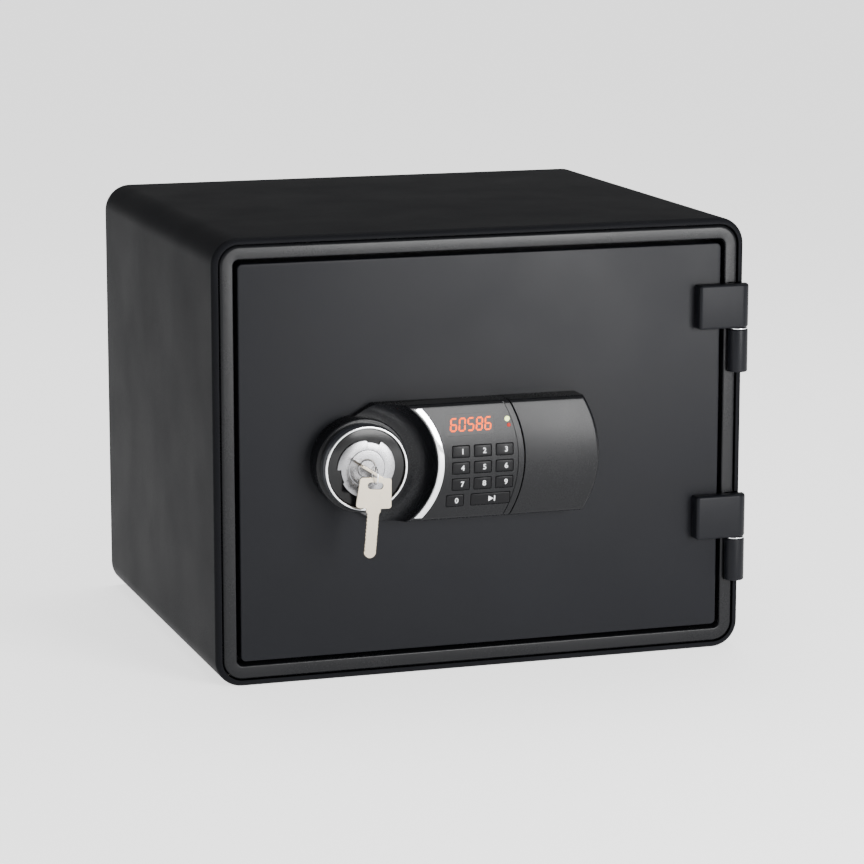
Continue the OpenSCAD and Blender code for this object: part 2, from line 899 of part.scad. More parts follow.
// Bright ring round the knob
module chrome_ring()
    color(chrome_tone) at_lock() difference() {
        rod_y(ring_r, -ring_front, -collar_front - ring_gap);
        rod_y(ring_r - ring_t, -ring_front - past, 0);
    }

// Silver disc with three steps on its rim
module lock_rosette()
    color(nickel_tone) at_lock() slab(-ring_front + 0.6, -ring_front + face_step) difference() {
        union() {
            circle(rosette_r);
            for (a = [60, 180, 300])
                rotate(a) intersection() {
                    translate([step_shift, 0]) circle(rosette_r + step_shift);
                    polygon([[0, 0], [40, 0], [40, 40], [0, 34]]);
                }
        }
        circle(face_r);
    }

// Barrel of the key lock with its round face
module lock_cylinder()
    color(bright_steel) at_lock() difference() {
        union() {
            rod_y(face_r, -ring_front + 0.2, -ring_front + face_step);
            rod_y(barrel_r, -ring_front + face_step, -barrel_back);
        }
        rod_y(plug_r + run_fit, -ring_front - past, 0);
    }

// Shaft from the knob to the crank
module spindle()
    color(bright_steel) at_lock() rod_y(spindle_r, -barrel_back + 1.6, crank_y0);

// Crank on the spindle's end with the pin that drives the carriage
module crank_disc()
    color(bright_steel) at_lock() {
        rod_y(crank_r + 4, crank_y0, crank_y0 + crank_t);
        rotate([0, -45, 0]) translate([crank_r, 0, 0])
            rod_y(crank_pin_r, crank_y0 + 1, bar_y0 + tongue_t + 2);
    }

// Turning plug with the slot for the key
module lock_plug()
    color(nickel_tone) at_lock() difference() {
        rod_y(plug_r, -ring_front - 0.2, -barrel_back - 0.2);
        rotate([0, keyway_tilt, 0])
            block([-key_blade_w / 2 - 0.3, -ring_front - past, -key_t / 2 - 0.3],
                  [key_blade_w / 2 + 0.3, -ring_front + key_blade_l + 0.5, key_t / 2 + 0.3]);
    }

// Flat cam on the plug's tail
module lock_cam()
    color(bright_steel) at_lock() rotate([0, keyway_tilt, 0]) {
        rod_y(4, -barrel_back - 0.2, -barrel_back + 1.3);
    }

// ---------------------------------------------------------------- bolt work

// Bar that carries the bolts
module bolt_carriage()
    color(bright_steel) from_front() difference() {
        block([bar_x, bar_y0, knob_z - bolt_pitch - bar_end],
              [bar_x + bar_w, bar_y1, knob_z + bolt_pitch + bar_end]);
        for (i = [-1:1])
            translate([bar_x, bolt_y, knob_z + i * bolt_pitch])
                rod_x(bolt_r, -past, bar_w - bolt_socket);
    }

// Tongue welded to the bar, with the crank pin's slot and the plunger's two notches
module carriage_tongue()
    color(bright_steel) at_lock() {
        crank_c = crank_r / sqrt(2);
        half = crank_pin_r + slot_gap;
        difference() {
            block([bar_x + bar_w - knob_x, bar_y0, -tongue_half_h],
                  [tongue_end, bar_y0 + tongue_t, tongue_half_h]);
            block([crank_c - half, bar_y0 - past, crank_c - half],
                  [crank_c + half, bar_y0 + tongue_t + past, crank_r + half]);
            for (x = [plunger_x, plunger_x + bolt_throw])
                block([x - plunger_r - notch_gap, bar_y0 - past, -tongue_half_h - past],
                      [x + plunger_r + notch_gap, bar_y0 + tongue_t + past,
                       -tongue_half_h + notch_d]);
        }
    }

// Three round bolts
module locking_bolts()
    color(bright_steel) from_front()
        for (i = [-1:1])
            translate([0, bolt_y, knob_z + i * bolt_pitch])
                rod_x(bolt_r, bolt_tip, bar_x + bar_w - bolt_socket);

// Solenoid on the back plate
module solenoid_body()
    color(bright_steel) at_lock() difference() {
        block([plunger_x - solenoid_w / 2, door_t, solenoid_top - solenoid_h],
              [plunger_x + solenoid_w / 2, bar_y0 + solenoid_d, solenoid_top]);
        translate([plunger_x, bar_y0 + tongue_t / 2, solenoid_top - solenoid_h + solenoid_wall])
            cylinder(r = plunger_r + run_fit, h = solenoid_h);
    }

// Plunger that enters the carriage's notches
module solenoid_plunger()
    color(chrome_tone) at_lock()
        translate([plunger_x, bar_y0 + tongue_t / 2, solenoid_top - plunger_seat])
            cylinder(r = plunger_r, h = plunger_tip - solenoid_top + plunger_seat);

// Lead from the board through the door to the solenoid
module lock_cable()
    color([0.15, 0.15, 0.16]) at_lock() {
        turn_y = bar_y0 + tongue_t / 2;
        drop = solenoid_top - 15;
        translate([cable_x, 0, cable_z]) {
            rod_y(cable_r, -board_front + board_t, turn_y);
            translate([0, turn_y, 0]) sphere(cable_r);
        }
        translate([cable_x, turn_y, drop]) {
            cylinder(r = cable_r, h = cable_z - drop);
            sphere(cable_r);
            rod_x(cable_r, plunger_x + solenoid_w / 2 - cable_x, 0);
        }
    }

// Rubber ring that lines the lead's hole in the door pan
module cable_grommet()
    color([0.10, 0.10, 0.10]) at_lock() translate([cable_x, 0, cable_z]) difference() {
        rod_y(cable_r + 2, 0, shell_t);
        rod_y(cable_r, -past, shell_t + past);
    }

// ---------------------------------------------------------------- keys

// Key in the lock: blade in the plug and a flat bow with a slot
module inserted_key()
    color(nickel_tone) at_lock() rotate([0, keyway_tilt, 0]) difference() {
        union() {
            block([-key_blade_w / 2, -bow_y0 - 1, -key_t / 2],
                  [key_blade_w / 2, -ring_front + key_blade_l, key_t / 2]);
            block([-bow_w / 2, -bow_front, -key_t / 2], [bow_w / 2, -bow_y0, key_t / 2]);
        }
        block([-eye_w / 2, -bow_front + strip_w, -past - key_t / 2],
              [eye_w / 2, -bow_front + strip_w + eye_h, past + key_t / 2]);
    }

// Small wire ring through both keys
module key_ring()
    color(chrome_tone) at_lock() translate([0, -hang_y, -hang_drop])
        rotate([0, 90, 0]) rotate_extrude() translate([wire_ring_r, 0]) circle(wire_r);

// Spare key hanging on the ring
module spare_key()
    color(nickel_tone) at_lock() translate([0, -hang_y, -hang_drop - wire_ring_r])
        rotate([0, spare_lean, 0]) slab(-key_t / 2, key_t / 2) difference() {
            union() {
                translate([0, spare_top - spare_head_h]) polygon([
                    [-spare_half_w[1], 0], [spare_half_w[1], 0],
                    [spare_half_w[0], spare_head_h], [-spare_half_w[0], spare_head_h]]);
                translate([-spare_neck_w / 2, spare_top - spare_head_h - spare_neck_h + past])
                    square([spare_neck_w, spare_neck_h]);
                translate([-spare_blade_r, spare_top - spare_l + spare_blade_r])
                    square([2 * spare_blade_r, spare_l - spare_blade_r - spare_head_h]);
                translate([0, spare_top - spare_l + spare_blade_r]) circle(spare_blade_r);
            }
            translate([-eye_w / 2, spare_top - strip_w - eye_h]) square([eye_w, eye_h]);
        }

// ---------------------------------------------------------------- keypad

// One key: cap in its window, rim behind the wall and a stem to the board
module keypad_key(k)
    color(moulded_black) at_lock() {
        front = housing_mid_d - (crown_r - sqrt(pow(crown_r, 2) - pow(k[1], 2)));
        rim_y = front - housing_t - flange_t - key_gap;
        translate([k[0], 0, k[1]]) {
            intersection() {
                slab(-clear_front, -rim_y) round_rect(k[2], key_h, key_corner_r);
                translate([-k[0], 0, -k[1]]) crowned(key_proud);
            }
            intersection() {
                slab(-housing_mid_d, -rim_y)
                    round_rect(k[2] + 2 * flange_rim, key_h + 2 * flange_rim, flange_r);
                translate([-k[0], 0, -k[1]]) crowned(-housing_t - key_gap);
            }
            slab(-rim_y - 0.5, -board_front - key_travel - 0.4) square(key_stem_w, center = true);
        }
    }

module key_0() keypad_key(zero_key);
module key_1() keypad_key(digit_keys[0]);
module key_2() keypad_key(digit_keys[1]);
module key_3() keypad_key(digit_keys[2]);
module key_4() keypad_key(digit_keys[3]);
module key_5() keypad_key(digit_keys[4]);
module key_6() keypad_key(digit_keys[5]);
module key_7() keypad_key(digit_keys[6]);
module key_8() keypad_key(digit_keys[7]);
module key_9() keypad_key(digit_keys[8]);
module key_start() keypad_key(start_key);

// ---------------------------------------------------------------- assembly
outer_shell();
back_panel();
front_frame();
body_insulation();
inner_liner();
anchor_sleeves();
keeper_plates();
hinge_knuckles();
hinge_pins();
hinge_washers();
hinge_screws();
door_panel();
door_insulation();
door_back_plate();
door_inner_cover();
door_seal();
hinge_leaves();
fixed_dogs();
bolt_guide();
cover_screws();
lock_housing();
knob_collar();
chrome_arc();
display_window();
display_module();
green_led();
red_led();
circuit_board();
batteries();
battery_contacts();
battery_cover();
solenoid_body();
solenoid_plunger();
lock_cable();
cable_grommet();
knob_body();
chrome_ring();
lock_rosette();
lock_cylinder();
spindle();
crank_disc();
bolt_carriage();
carriage_tongue();
locking_bolts();
lock_plug();
lock_cam();
inserted_key();
key_ring();
spare_key();
key_0();
key_1();
key_2();
key_3();
key_4();
key_5();
key_6();
key_7();
key_8();
key_9();
key_start();
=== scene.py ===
"""In-room safe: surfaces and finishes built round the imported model, in its own frame.

Lengths are metres. The safe stands on the floor at the origin, its front faces -Y, and its door
swings on the +X side. A point "on the lock" is counted from the knob's axis and the front face.
"""

import json
import logging
import math
from dataclasses import dataclass, field, replace
from enum import Enum
from typing import Iterable, Sequence

import bpy
import numpy as np
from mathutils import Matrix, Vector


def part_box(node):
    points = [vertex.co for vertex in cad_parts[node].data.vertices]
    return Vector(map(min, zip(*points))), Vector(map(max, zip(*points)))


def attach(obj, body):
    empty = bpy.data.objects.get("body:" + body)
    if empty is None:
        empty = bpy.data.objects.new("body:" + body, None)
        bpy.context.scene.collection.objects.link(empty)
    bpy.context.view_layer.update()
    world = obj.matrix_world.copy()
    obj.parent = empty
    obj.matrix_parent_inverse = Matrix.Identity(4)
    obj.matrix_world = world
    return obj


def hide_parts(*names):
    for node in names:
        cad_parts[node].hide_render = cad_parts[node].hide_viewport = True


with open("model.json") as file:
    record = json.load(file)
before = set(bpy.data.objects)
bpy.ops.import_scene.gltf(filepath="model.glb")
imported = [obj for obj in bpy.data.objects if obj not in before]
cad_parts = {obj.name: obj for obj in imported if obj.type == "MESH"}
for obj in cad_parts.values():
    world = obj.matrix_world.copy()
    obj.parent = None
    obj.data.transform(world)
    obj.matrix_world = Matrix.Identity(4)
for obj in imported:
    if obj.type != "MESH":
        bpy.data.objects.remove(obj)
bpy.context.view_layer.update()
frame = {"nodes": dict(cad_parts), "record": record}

log = logging.getLogger("safe")
MM = 0.001
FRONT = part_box("front_frame")[0].y
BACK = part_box("outer_shell")[1].y
BODY_W = 2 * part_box("outer_shell")[1].x
BODY_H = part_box("outer_shell")[1].z
BOLT_GAP = 70.0
BOLT_DEPTH = 46.0
KNOB_X = sum(v.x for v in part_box("chrome_ring")) / 2
KNOB_Z = sum(v.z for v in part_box("chrome_ring")) / 2


# ------------------------------------------------------------------------------ surfaces


@dataclass
class Surface:
    """A closed surface: its points, and its faces as lists of point numbers."""

    points: np.ndarray
    faces: list

    def moved(self, x: float = 0.0, y: float = 0.0, z: float = 0.0) -> "Surface":
        """The same surface, carried by a step."""
        return Surface(self.points + np.array([x, y, z]), self.faces)

    def leaned(self, degrees: float) -> "Surface":
        """The same surface turned about the Y axis: x' = x cos + z sin, z' = z cos - x sin."""
        a = math.radians(degrees)
        turn = np.array([[math.cos(a), 0, math.sin(a)], [0, 1, 0], [-math.sin(a), 0, math.cos(a)]])
        return Surface(self.points @ turn.T, self.faces)

    def on_lock(self) -> "Surface":
        """The same surface, carried from the knob's axis and front face to its place."""
        return self.moved(KNOB_X, FRONT, KNOB_Z)

    def joined(self, *others: "Surface") -> "Surface":
        """This surface and others as one."""
        points, faces = [self.points], list(self.faces)
        count = len(self.points)
        for other in others:
            faces += [[i + count for i in face] for face in other.faces]
            points.append(other.points)
            count += len(other.points)
        return Surface(np.vstack(points), faces)

    def volume(self) -> float:
        """Signed volume: the sum over fan triangles of a . (b x c) / 6."""
        total = 0.0
        for size in {len(face) for face in self.faces}:
            block = np.array([face for face in self.faces if len(face) == size])
            corner = self.points[block]
            for k in range(1, size - 1):
                total += np.einsum(
                    "ij,ij->", corner[:, 0], np.cross(corner[:, k], corner[:, k + 1])
                )
        return total / 6

    def outward(self) -> "Surface":
        """The same surface with every face turned outwards."""
        if self.volume() < 0:
            return Surface(self.points, [face[::-1] for face in self.faces])
        return self


def loft(rings: np.ndarray, closed: bool = False) -> Surface:
    """Skin over a row of rings. Each quad joins two neighbouring points of one ring to the same
    points of the next; the first and last ring are joined, or else each is closed by a cap.

    Args:
        rings: points of shape (rings, points in a ring, 3).
        closed: whether the last ring runs on into the first.

    Returns:
        The closed surface, facing outwards.
    """
    count, n = rings.shape[:2]
    rows = np.arange(count if closed else count - 1)
    i = rows[:, None] * n
    j = ((rows + 1) % count)[:, None] * n
    a = np.arange(n)[None, :]
    b = (a + 1) % n
    quads = np.stack([i + a, i + b, j + b, j + a], axis=-1).reshape(-1, 4).tolist()
    if not closed:
        quads += [list(range(n))[::-1], list(range((count - 1) * n, count * n))]
    return Surface(rings.reshape(-1, 3).astype(float), quads).outward()


def arc(cx: float, cy: float, r: float, start: float, end: float, steps: int = 8) -> np.ndarray:
    """Points on an arc: centre plus r times (cos, sin) of evenly spaced angles, in degrees."""
    a = np.radians(np.linspace(start, end, steps + 1))
    return np.column_stack([cx + r * np.cos(a), cy + r * np.sin(a)])


def path(*parts: Sequence) -> np.ndarray:
    """One polyline from points and arcs, in order."""
    return np.vstack([np.atleast_2d(np.asarray(part, float)) for part in parts])


def round_rings(inset: np.ndarray, depth: np.ndarray, radius: np.ndarray,
                steps: int = 12) -> np.ndarray:
    """Rings of the body's outline: each is a rectangle drawn in by its inset, its corners
    replaced by quarter circles of its radius, and pushed back by its depth.

    Args:
        inset: distance inside the body's outline, one for each ring.
        depth: distance behind the front face, one for each ring.
        radius: corner radius, one for each ring.
        steps: facets of each corner.

    Returns:
        Points of shape (rings, 4 * (steps + 1), 3).
    """
    sweep = np.linspace(0, math.pi / 2, steps + 1)
    a = np.concatenate([sweep + k * math.pi / 2 for k in range(4)])
    sx = np.repeat([1, -1, -1, 1], steps + 1)
    sz = np.repeat([1, 1, -1, -1], steps + 1)
    d, r = inset[:, None], radius[:, None]
    x = sx * (BODY_W / 2 - d - r) + r * np.cos(a)
    z = BODY_H / 2 + sz * (BODY_H / 2 - d - r) + r * np.sin(a)
    y = np.broadcast_to(FRONT + depth[:, None], x.shape)
    return np.stack([x, y, z], axis=-1)


def carried_round(profile: np.ndarray, closed: bool = True) -> Surface:
    """A profile of (inset, depth, radius) rows in millimetres carried round the body's outline."""
    p = np.asarray(profile, float) * MM
    return loft(round_rings(p[:, 0], p[:, 1], p[:, 2]), closed)


def turned(profile: np.ndarray, closed: bool = True, steps: int = 128) -> Surface:
    """A profile of (radius, y) rows in millimetres spun about the knob's axis:
    x = r cos t, z = r sin t.
    """
    p = np.asarray(profile, float) * MM
    t = np.linspace(0, 2 * math.pi, steps, endpoint=False)
    r = p[:, :1]
    y = np.broadcast_to(p[:, 1:2], (len(p), steps))
    return loft(np.stack([r * np.cos(t), y, r * np.sin(t)], axis=-1), closed)


def stacked(
    z: np.ndarray, x0: np.ndarray, x1: np.ndarray, front: np.ndarray, back: np.ndarray,
    edge0: float = 0.0, edge1: float = 0.0, steps: int = 5,
) -> Surface:
    """A solid stacked up along z. Its section at each z is the rectangle from x0 to x1 and from
    front to back, with its two front corners replaced by quarter circles.

    Args:
        z: heights of the sections, in millimetres.
        x0: left side at each height.
        x1: right side at each height.
        front: y of the front at each height.
        back: y of the back at each height.
        edge0: radius of the left front corner.
        edge1: radius of the right front corner.
        steps: facets of each corner.

    Returns:
        The closed surface.
    """
    z, x0, x1, front, back = (np.asarray(v, float) + np.zeros(len(z))
                              for v in (z, x0, x1, front, back))
    a = np.linspace(0, math.pi / 2, steps + 1)
    cols = [(x0, back)]
    if edge0:
        cols += [(x0 + edge0 * (1 - math.cos(t)), front + edge0 * (1 - math.sin(t))) for t in a]
    else:
        cols.append((x0, front))
    if edge1:
        cols += [(x1 - edge1 * (1 - math.cos(t)), front + edge1 * (1 - math.sin(t)))
                 for t in a[::-1]]
    else:
        cols.append((x1, front))
    cols.append((x1, back))
    x = np.stack([c[0] for c in cols], axis=1)
    y = np.stack([c[1] for c in cols], axis=1)
    return loft(np.stack([x, y, np.broadcast_to(z[:, None], x.shape)], axis=-1) * MM)


def plate(v: np.ndarray, left: np.ndarray, right: np.ndarray, thick: float, edge: float) -> Surface:
    """A flat plate in the XZ plane. Its section at each height v is the rectangle from left to
    right with every corner cut off by edge.
    """
    v, left, right = (np.asarray(a, float) + np.zeros(len(v)) for a in (v, left, right))
    h = thick / 2
    cols = [
        (left + edge, -h), (right - edge, -h), (right, edge - h), (right, h - edge),
        (right - edge, h), (left + edge, h), (left, h - edge), (left, edge - h),
    ]
    x = np.stack([c[0] for c in cols], axis=1)
    y = np.broadcast_to(np.array([c[1] for c in cols]), x.shape)
    return loft(np.stack([x, y, np.broadcast_to(v[:, None], x.shape)], axis=-1) * MM)


def brick(low: Sequence[float], high: Sequence[float]) -> Surface:
    """A block between two corners in millimetres, used for cutting."""
    (x0, y0, z0), (x1, y1, z1) = low, high
    return stacked(np.array([z0, z1]), x0, x1, y0, y1)


def upright(x: float, y: float, r: float, z0: float, z1: float, steps: int = 64) -> Surface:
    """A round bar along z in millimetres, y counted from the front face: x = r cos t, y = r sin t."""
    t = np.linspace(0, 2 * math.pi, steps, endpoint=False)
    rings = [np.column_stack([x + r * np.cos(t), y + FRONT / MM + r * np.sin(t), np.full(steps, z)])
             for z in (z0, z1)]
    return loft(np.stack(rings) * MM)


def drilled(x: float, z: float, r: float, y0: float, y1: float, steps: int = 32) -> Surface:
    """A round bar along y in millimetres."""
    return turned(np.array([[r, y0], [r, y1]]), closed=False, steps=steps).moved(x * MM, 0, z * MM)


# ------------------------------------------------------------------------------ shader maths


class Value:
    """A number that changes over a surface. Arithmetic on it adds Math nodes."""

    def __init__(self, nodes: "NodeBench", socket: bpy.types.NodeSocket) -> None:
        """Wraps a socket of the bench's material."""
        self.nodes, self.socket = nodes, socket

    def _math(self, operation: str, a: object, b: object = 0.0) -> "Value":
        """Adds one Math node and returns its result."""
        made = self.nodes.make("ShaderNodeMath", {"operation": operation}, {0: a, 1: b})
        return Value(self.nodes, made.outputs[0])

    def __add__(self, other: object) -> "Value":
        """self + other."""
        return self._math("ADD", self, other)

    def __radd__(self, other: object) -> "Value":
        """other + self."""
        return self._math("ADD", other, self)

    def __sub__(self, other: object) -> "Value":
        """self - other."""
        return self._math("SUBTRACT", self, other)

    def __rsub__(self, other: object) -> "Value":
        """other - self."""
        return self._math("SUBTRACT", other, self)

    def __mul__(self, other: object) -> "Value":
        """self * other."""
        return self._math("MULTIPLY", self, other)

    def __rmul__(self, other: object) -> "Value":
        """other * self."""
        return self._math("MULTIPLY", other, self)

    def __truediv__(self, other: object) -> "Value":
        """self / other."""
        return self._math("DIVIDE", self, other)

    def __gt__(self, other: object) -> "Value":
        """1 where self is more than other, and 0 elsewhere."""
        return self._math("GREATER_THAN", self, other)


class NodeBench:
    """Makes and joins the nodes of one material."""

    def __init__(self, name: str) -> None:
        """Starts a material with a shader and its output."""
        self.material = bpy.data.materials.new(name)
        self.material.use_nodes = True
        self.tree = self.material.node_tree
        self.tree.nodes.clear()
        self.shader = self.make("ShaderNodeBsdfPrincipled")
        out = self.make("ShaderNodeOutputMaterial")
        self.tree.links.new(self.shader.outputs[0], out.inputs["Surface"])
        self.place = self.make("ShaderNodeTexCoord").outputs["Object"]

    def make(self, kind: str, settings: dict | None = None,
             sockets: dict | None = None) -> bpy.types.Node:
        """Adds one node.

        Args:
            kind: the node's type.
            settings: its properties, set first; "stops" fills a colour ramp.
            sockets: values or links of its inputs, by name, identifier or number.

        Returns:
            The node.
        """
        node = self.tree.nodes.new(kind)
        for key, value in (settings or {}).items():
            if key == "stops":
                for stop, (where, shade) in zip(node.color_ramp.elements, value):
                    stop.position, stop.color = where, shade
            else:
                setattr(node, key, value)
        for key, value in (sockets or {}).items():
            if isinstance(key, int):
                socket = node.inputs[key]
            else:
                socket = next(s for s in node.inputs if key in (s.identifier, s.name))
            self.feed(socket, value)
        return node

    def feed(self, socket: bpy.types.NodeSocket, value: object) -> None:
        """Sets a socket, or links it if the value comes from another node."""
        if isinstance(value, Value):
            value = value.socket
        if isinstance(value, bpy.types.NodeSocket):
            self.tree.links.new(value, socket)
        else:
            socket.default_value = value

    def noise(self, scale: float, detail: float = 2.0,
              stretch: Sequence[float] = (1, 1, 1)) -> Value:
        """Smooth noise about 0.5, with scale waves to the metre, stretched along the axes."""
        where = self.make("ShaderNodeMapping", {}, {"Vector": self.place, "Scale": tuple(stretch)})
        made = self.make(
            "ShaderNodeTexNoise", {}, {"Vector": where.outputs[0], "Scale": scale, "Detail": detail}
        )
        return Value(self, made.outputs[0])

    def cells(self, scale: float) -> Value:
        """Distance to the nearest of a scatter of points, scale to the metre."""
        made = self.make("ShaderNodeTexVoronoi", {}, {"Vector": self.place, "Scale": scale})
        return Value(self, made.outputs["Distance"])

    def blend(self, factor: Value, first: Sequence[float],
              second: Sequence[float]) -> bpy.types.NodeSocket:
        """Colour between two, by a factor."""
        made = self.make(
            "ShaderNodeMix", {"data_type": "RGBA"},
            {"Factor_Float": factor, "A_Color": (*first, 1), "B_Color": (*second, 1)},
        )
        return next(s for s in made.outputs if s.identifier == "Result_Color")

    def emboss(self, height: Value, depth: float, strength: float = 1.0) -> None:
        """Bumps the surface by a height of 0 to 1, times depth in metres."""
        made = self.make(
            "ShaderNodeBump", {}, {"Strength": strength, "Distance": depth, "Height": height}
        )
        self.feed(self.shader.inputs["Normal"], made.outputs[0])


# ------------------------------------------------------------------------------ finishes


class Texture(Enum):
    """How a finish is worked over its surface."""

    POWDER = "powder coat, with a fine orange peel"
    GRAIN = "moulded plastic, spark-eroded grain"
    POLISHED = "polished, with hairline wear"
    BRUSHED = "brushed one way"
    FIBRE = "cast filling, pitted"
    SOFT = "rubber, dusty"
    PLAIN = "smooth lens or print"


@dataclass(frozen=True)
class Finish:
    """One finish: its colour, its second colour, and how rough it is."""

    name: str
    colour: tuple[float, float, float]
    tint: tuple[float, float, float]
    rough: float
    texture: Texture
    metal: float = 0.0
    coat: float = 0.0
    glow: float = 0.0
    index: float = 1.45
    spread: float = 0.08
    relief: float = 1.0
    axis: tuple[float, float, float] = (1, 1, 1)

    def height(self, bench: NodeBench) -> tuple[Value, float]:
        """The small relief of the surface and its depth in metres."""
        if self.texture is Texture.POWDER:
            return bench.noise(1400, 3) * 0.7 + bench.cells(2600) * 0.3, 0.00006
        if self.texture is Texture.GRAIN:
            return bench.cells(2200) * 0.6 + bench.noise(3800, 2) * 0.4, 0.00005
        if self.texture is Texture.BRUSHED:
            return bench.noise(2600, 2, self.axis), 0.00003
        if self.texture is Texture.FIBRE:
            return bench.noise(420, 6) * 0.6 + bench.cells(300) * 0.4, 0.0009
        if self.texture is Texture.SOFT:
            return bench.noise(1800, 3), 0.00008
        if self.texture is Texture.POLISHED:
            return bench.noise(900, 2, (1, 1, 0.08)), 0.000006
        return bench.noise(1500, 1), 0.000004

    def made(self) -> bpy.types.Material:
        """Builds the material.

        Returns:
            A material whose colour drifts between its two colours, whose roughness drifts with
            it, and whose relief comes from its texture.
        """
        bench = NodeBench(self.name)
        shader = bench.shader
        shader.inputs["Metallic"].default_value = self.metal
        shader.inputs["Coat Weight"].default_value = self.coat
        shader.inputs["IOR"].default_value = self.index
        drift = bench.noise(14, 4)
        fleck = bench.noise(900, 2)
        mask = (drift - 0.5) * 1.6 + 0.5
        colour = bench.blend(mask * 0.7 + fleck * 0.3, self.colour, self.tint)
        bench.feed(shader.inputs["Base Color"], colour)
        rough = (drift - 0.5) * self.spread * 2 + (fleck - 0.5) * self.spread + self.rough
        if self.texture is Texture.POLISHED:
            hair = bench.noise(2400, 2, (0.05, 1, 1)) > 0.66
            rough = rough + hair * 0.06
        bench.feed(shader.inputs["Roughness"], rough)
        if self.glow:
            bench.feed(shader.inputs["Emission Color"], colour)
            shader.inputs["Emission Strength"].default_value = self.glow
        relief, depth = self.height(bench)
        bench.emboss(relief, depth * self.relief)
        return bench.material


FINISHES = {
    # lit copy of the black powder coat: its stronger reflection (index 1.2) gives the door pan, hinge
    # leaves and knuckles brighter highlights than the shell
    "door_coat_lit_copy": Finish(
        "black powder coat lit copy", (0.0050, 0.0053, 0.0068), (0.0062, 0.0066, 0.0084), 0.40,
        Texture.POWDER,
        index=1.2, relief=0.6),
    # shaded copy of the same coat: its very weak reflection (index 1.07) keeps the shell's sides dark
    "black_powder_coat": Finish(
        "black powder coat shaded copy", (0.0060, 0.0062, 0.0072), (0.0076, 0.0078, 0.0090), 0.46,
        Texture.POWDER,
        index=1.07),
    "black_abs": Finish(
        "black moulded plastic", (0.0046, 0.0048, 0.0056), (0.0062, 0.0064, 0.0074), 0.27,
        Texture.GRAIN,
        index=1.26, relief=0.7),
    "black_gloss_abs": Finish(
        "black gloss plastic", (0.003, 0.003, 0.0034), (0.004, 0.004, 0.0045), 0.12,
        Texture.PLAIN, index=1.3, spread=0.03),
    "insulation_fill": Finish(
        "cast filling", (0.45, 0.43, 0.39), (0.62, 0.60, 0.55), 0.9, Texture.FIBRE),
    "plain_steel": Finish(
        "plain steel", (0.42, 0.42, 0.43), (0.52, 0.52, 0.53), 0.38, Texture.BRUSHED,
        metal=1.0, axis=(0.06, 1, 1)),
    "zinc_steel": Finish(
        "zinc plate", (0.60, 0.60, 0.57), (0.70, 0.69, 0.62), 0.32, Texture.BRUSHED,
        metal=1.0, axis=(1, 1, 0.08)),
    "bright_chrome": Finish(
        "bright chrome", (0.80, 0.81, 0.83), (0.86, 0.87, 0.88), 0.09, Texture.POLISHED,
        metal=1.0, spread=0.03),
    "satin_nickel": Finish(
        "satin nickel", (0.22, 0.22, 0.23), (0.34, 0.34, 0.35), 0.27, Texture.BRUSHED,
        metal=1.0, axis=(0.08, 1, 1), spread=0.06),
    "key_nickel": Finish(
        "nickel silver", (0.36, 0.31, 0.24), (0.52, 0.47, 0.38), 0.24, Texture.BRUSHED,
        metal=0.85, axis=(1, 1, 0.08), spread=0.08),
    "seal_rubber": Finish("seal rubber", (0.016, 0.016, 0.016), (0.03, 0.03, 0.03), 0.75,
                          Texture.SOFT),
    "display_smoke": Finish(
        "smoked window", (0.0044, 0.0038, 0.004), (0.0054, 0.0046, 0.005), 0.27, Texture.PLAIN,
        index=1.26, spread=0.03),
    "display_orange": Finish(
        "lit segments", (1.0, 0.07, 0.004), (1.0, 0.16, 0.015), 0.5, Texture.PLAIN, glow=1.3,
        index=1.04),
    "green_lens": Finish(
        "lit green lens", (0.62, 0.80, 0.22), (0.85, 0.95, 0.45), 0.2, Texture.PLAIN, glow=1.3,
        index=1.15),
    "red_lens": Finish("red lens", (0.30, 0.02, 0.012), (0.40, 0.03, 0.02), 0.2, Texture.PLAIN, glow=0.2,
        index=1.15),
    "circuit_green": Finish(
        "circuit board", (0.02, 0.14, 0.05), (0.04, 0.22, 0.08), 0.35, Texture.GRAIN),
    "cell_jacket": Finish(
        "cell jacket", (0.05, 0.05, 0.055), (0.55, 0.33, 0.08), 0.3, Texture.PLAIN, coat=0.3),
    "key_caps": Finish(
        "key caps", (0.003, 0.003, 0.0036), (0.004, 0.004, 0.0048), 0.30, Texture.GRAIN, index=1.22),
}
PRINT = Finish("pale print", (0.62, 0.63, 0.64), (0.72, 0.73, 0.74), 0.5, Texture.PLAIN)


class Paintbox:
    """Makes each finish once and hands it out by its slot's name."""

    def __init__(self) -> None:
        """Starts with nothing mixed."""
        self.mixed: dict[str, bpy.types.Material] = {}

    def __getitem__(self, name: str) -> bpy.types.Material:
        """The material of a slot, or of the print."""
        if name not in self.mixed:
            finish = PRINT if name == "print" else FINISHES[name]
            self.mixed[name] = finish.made()
        return self.mixed[name]


paints = Paintbox()


# ------------------------------------------------------------------------------ pieces


def mesh_object(name: str, surface: Surface) -> bpy.types.Object:
    """Puts a surface into a new object, all at once."""
    mesh = bpy.data.meshes.new(name)
    mesh.from_pydata(surface.points.astype(np.float32), [], surface.faces)
    obj = bpy.data.objects.new(name, mesh)
    bpy.context.scene.collection.objects.link(obj)
    return obj


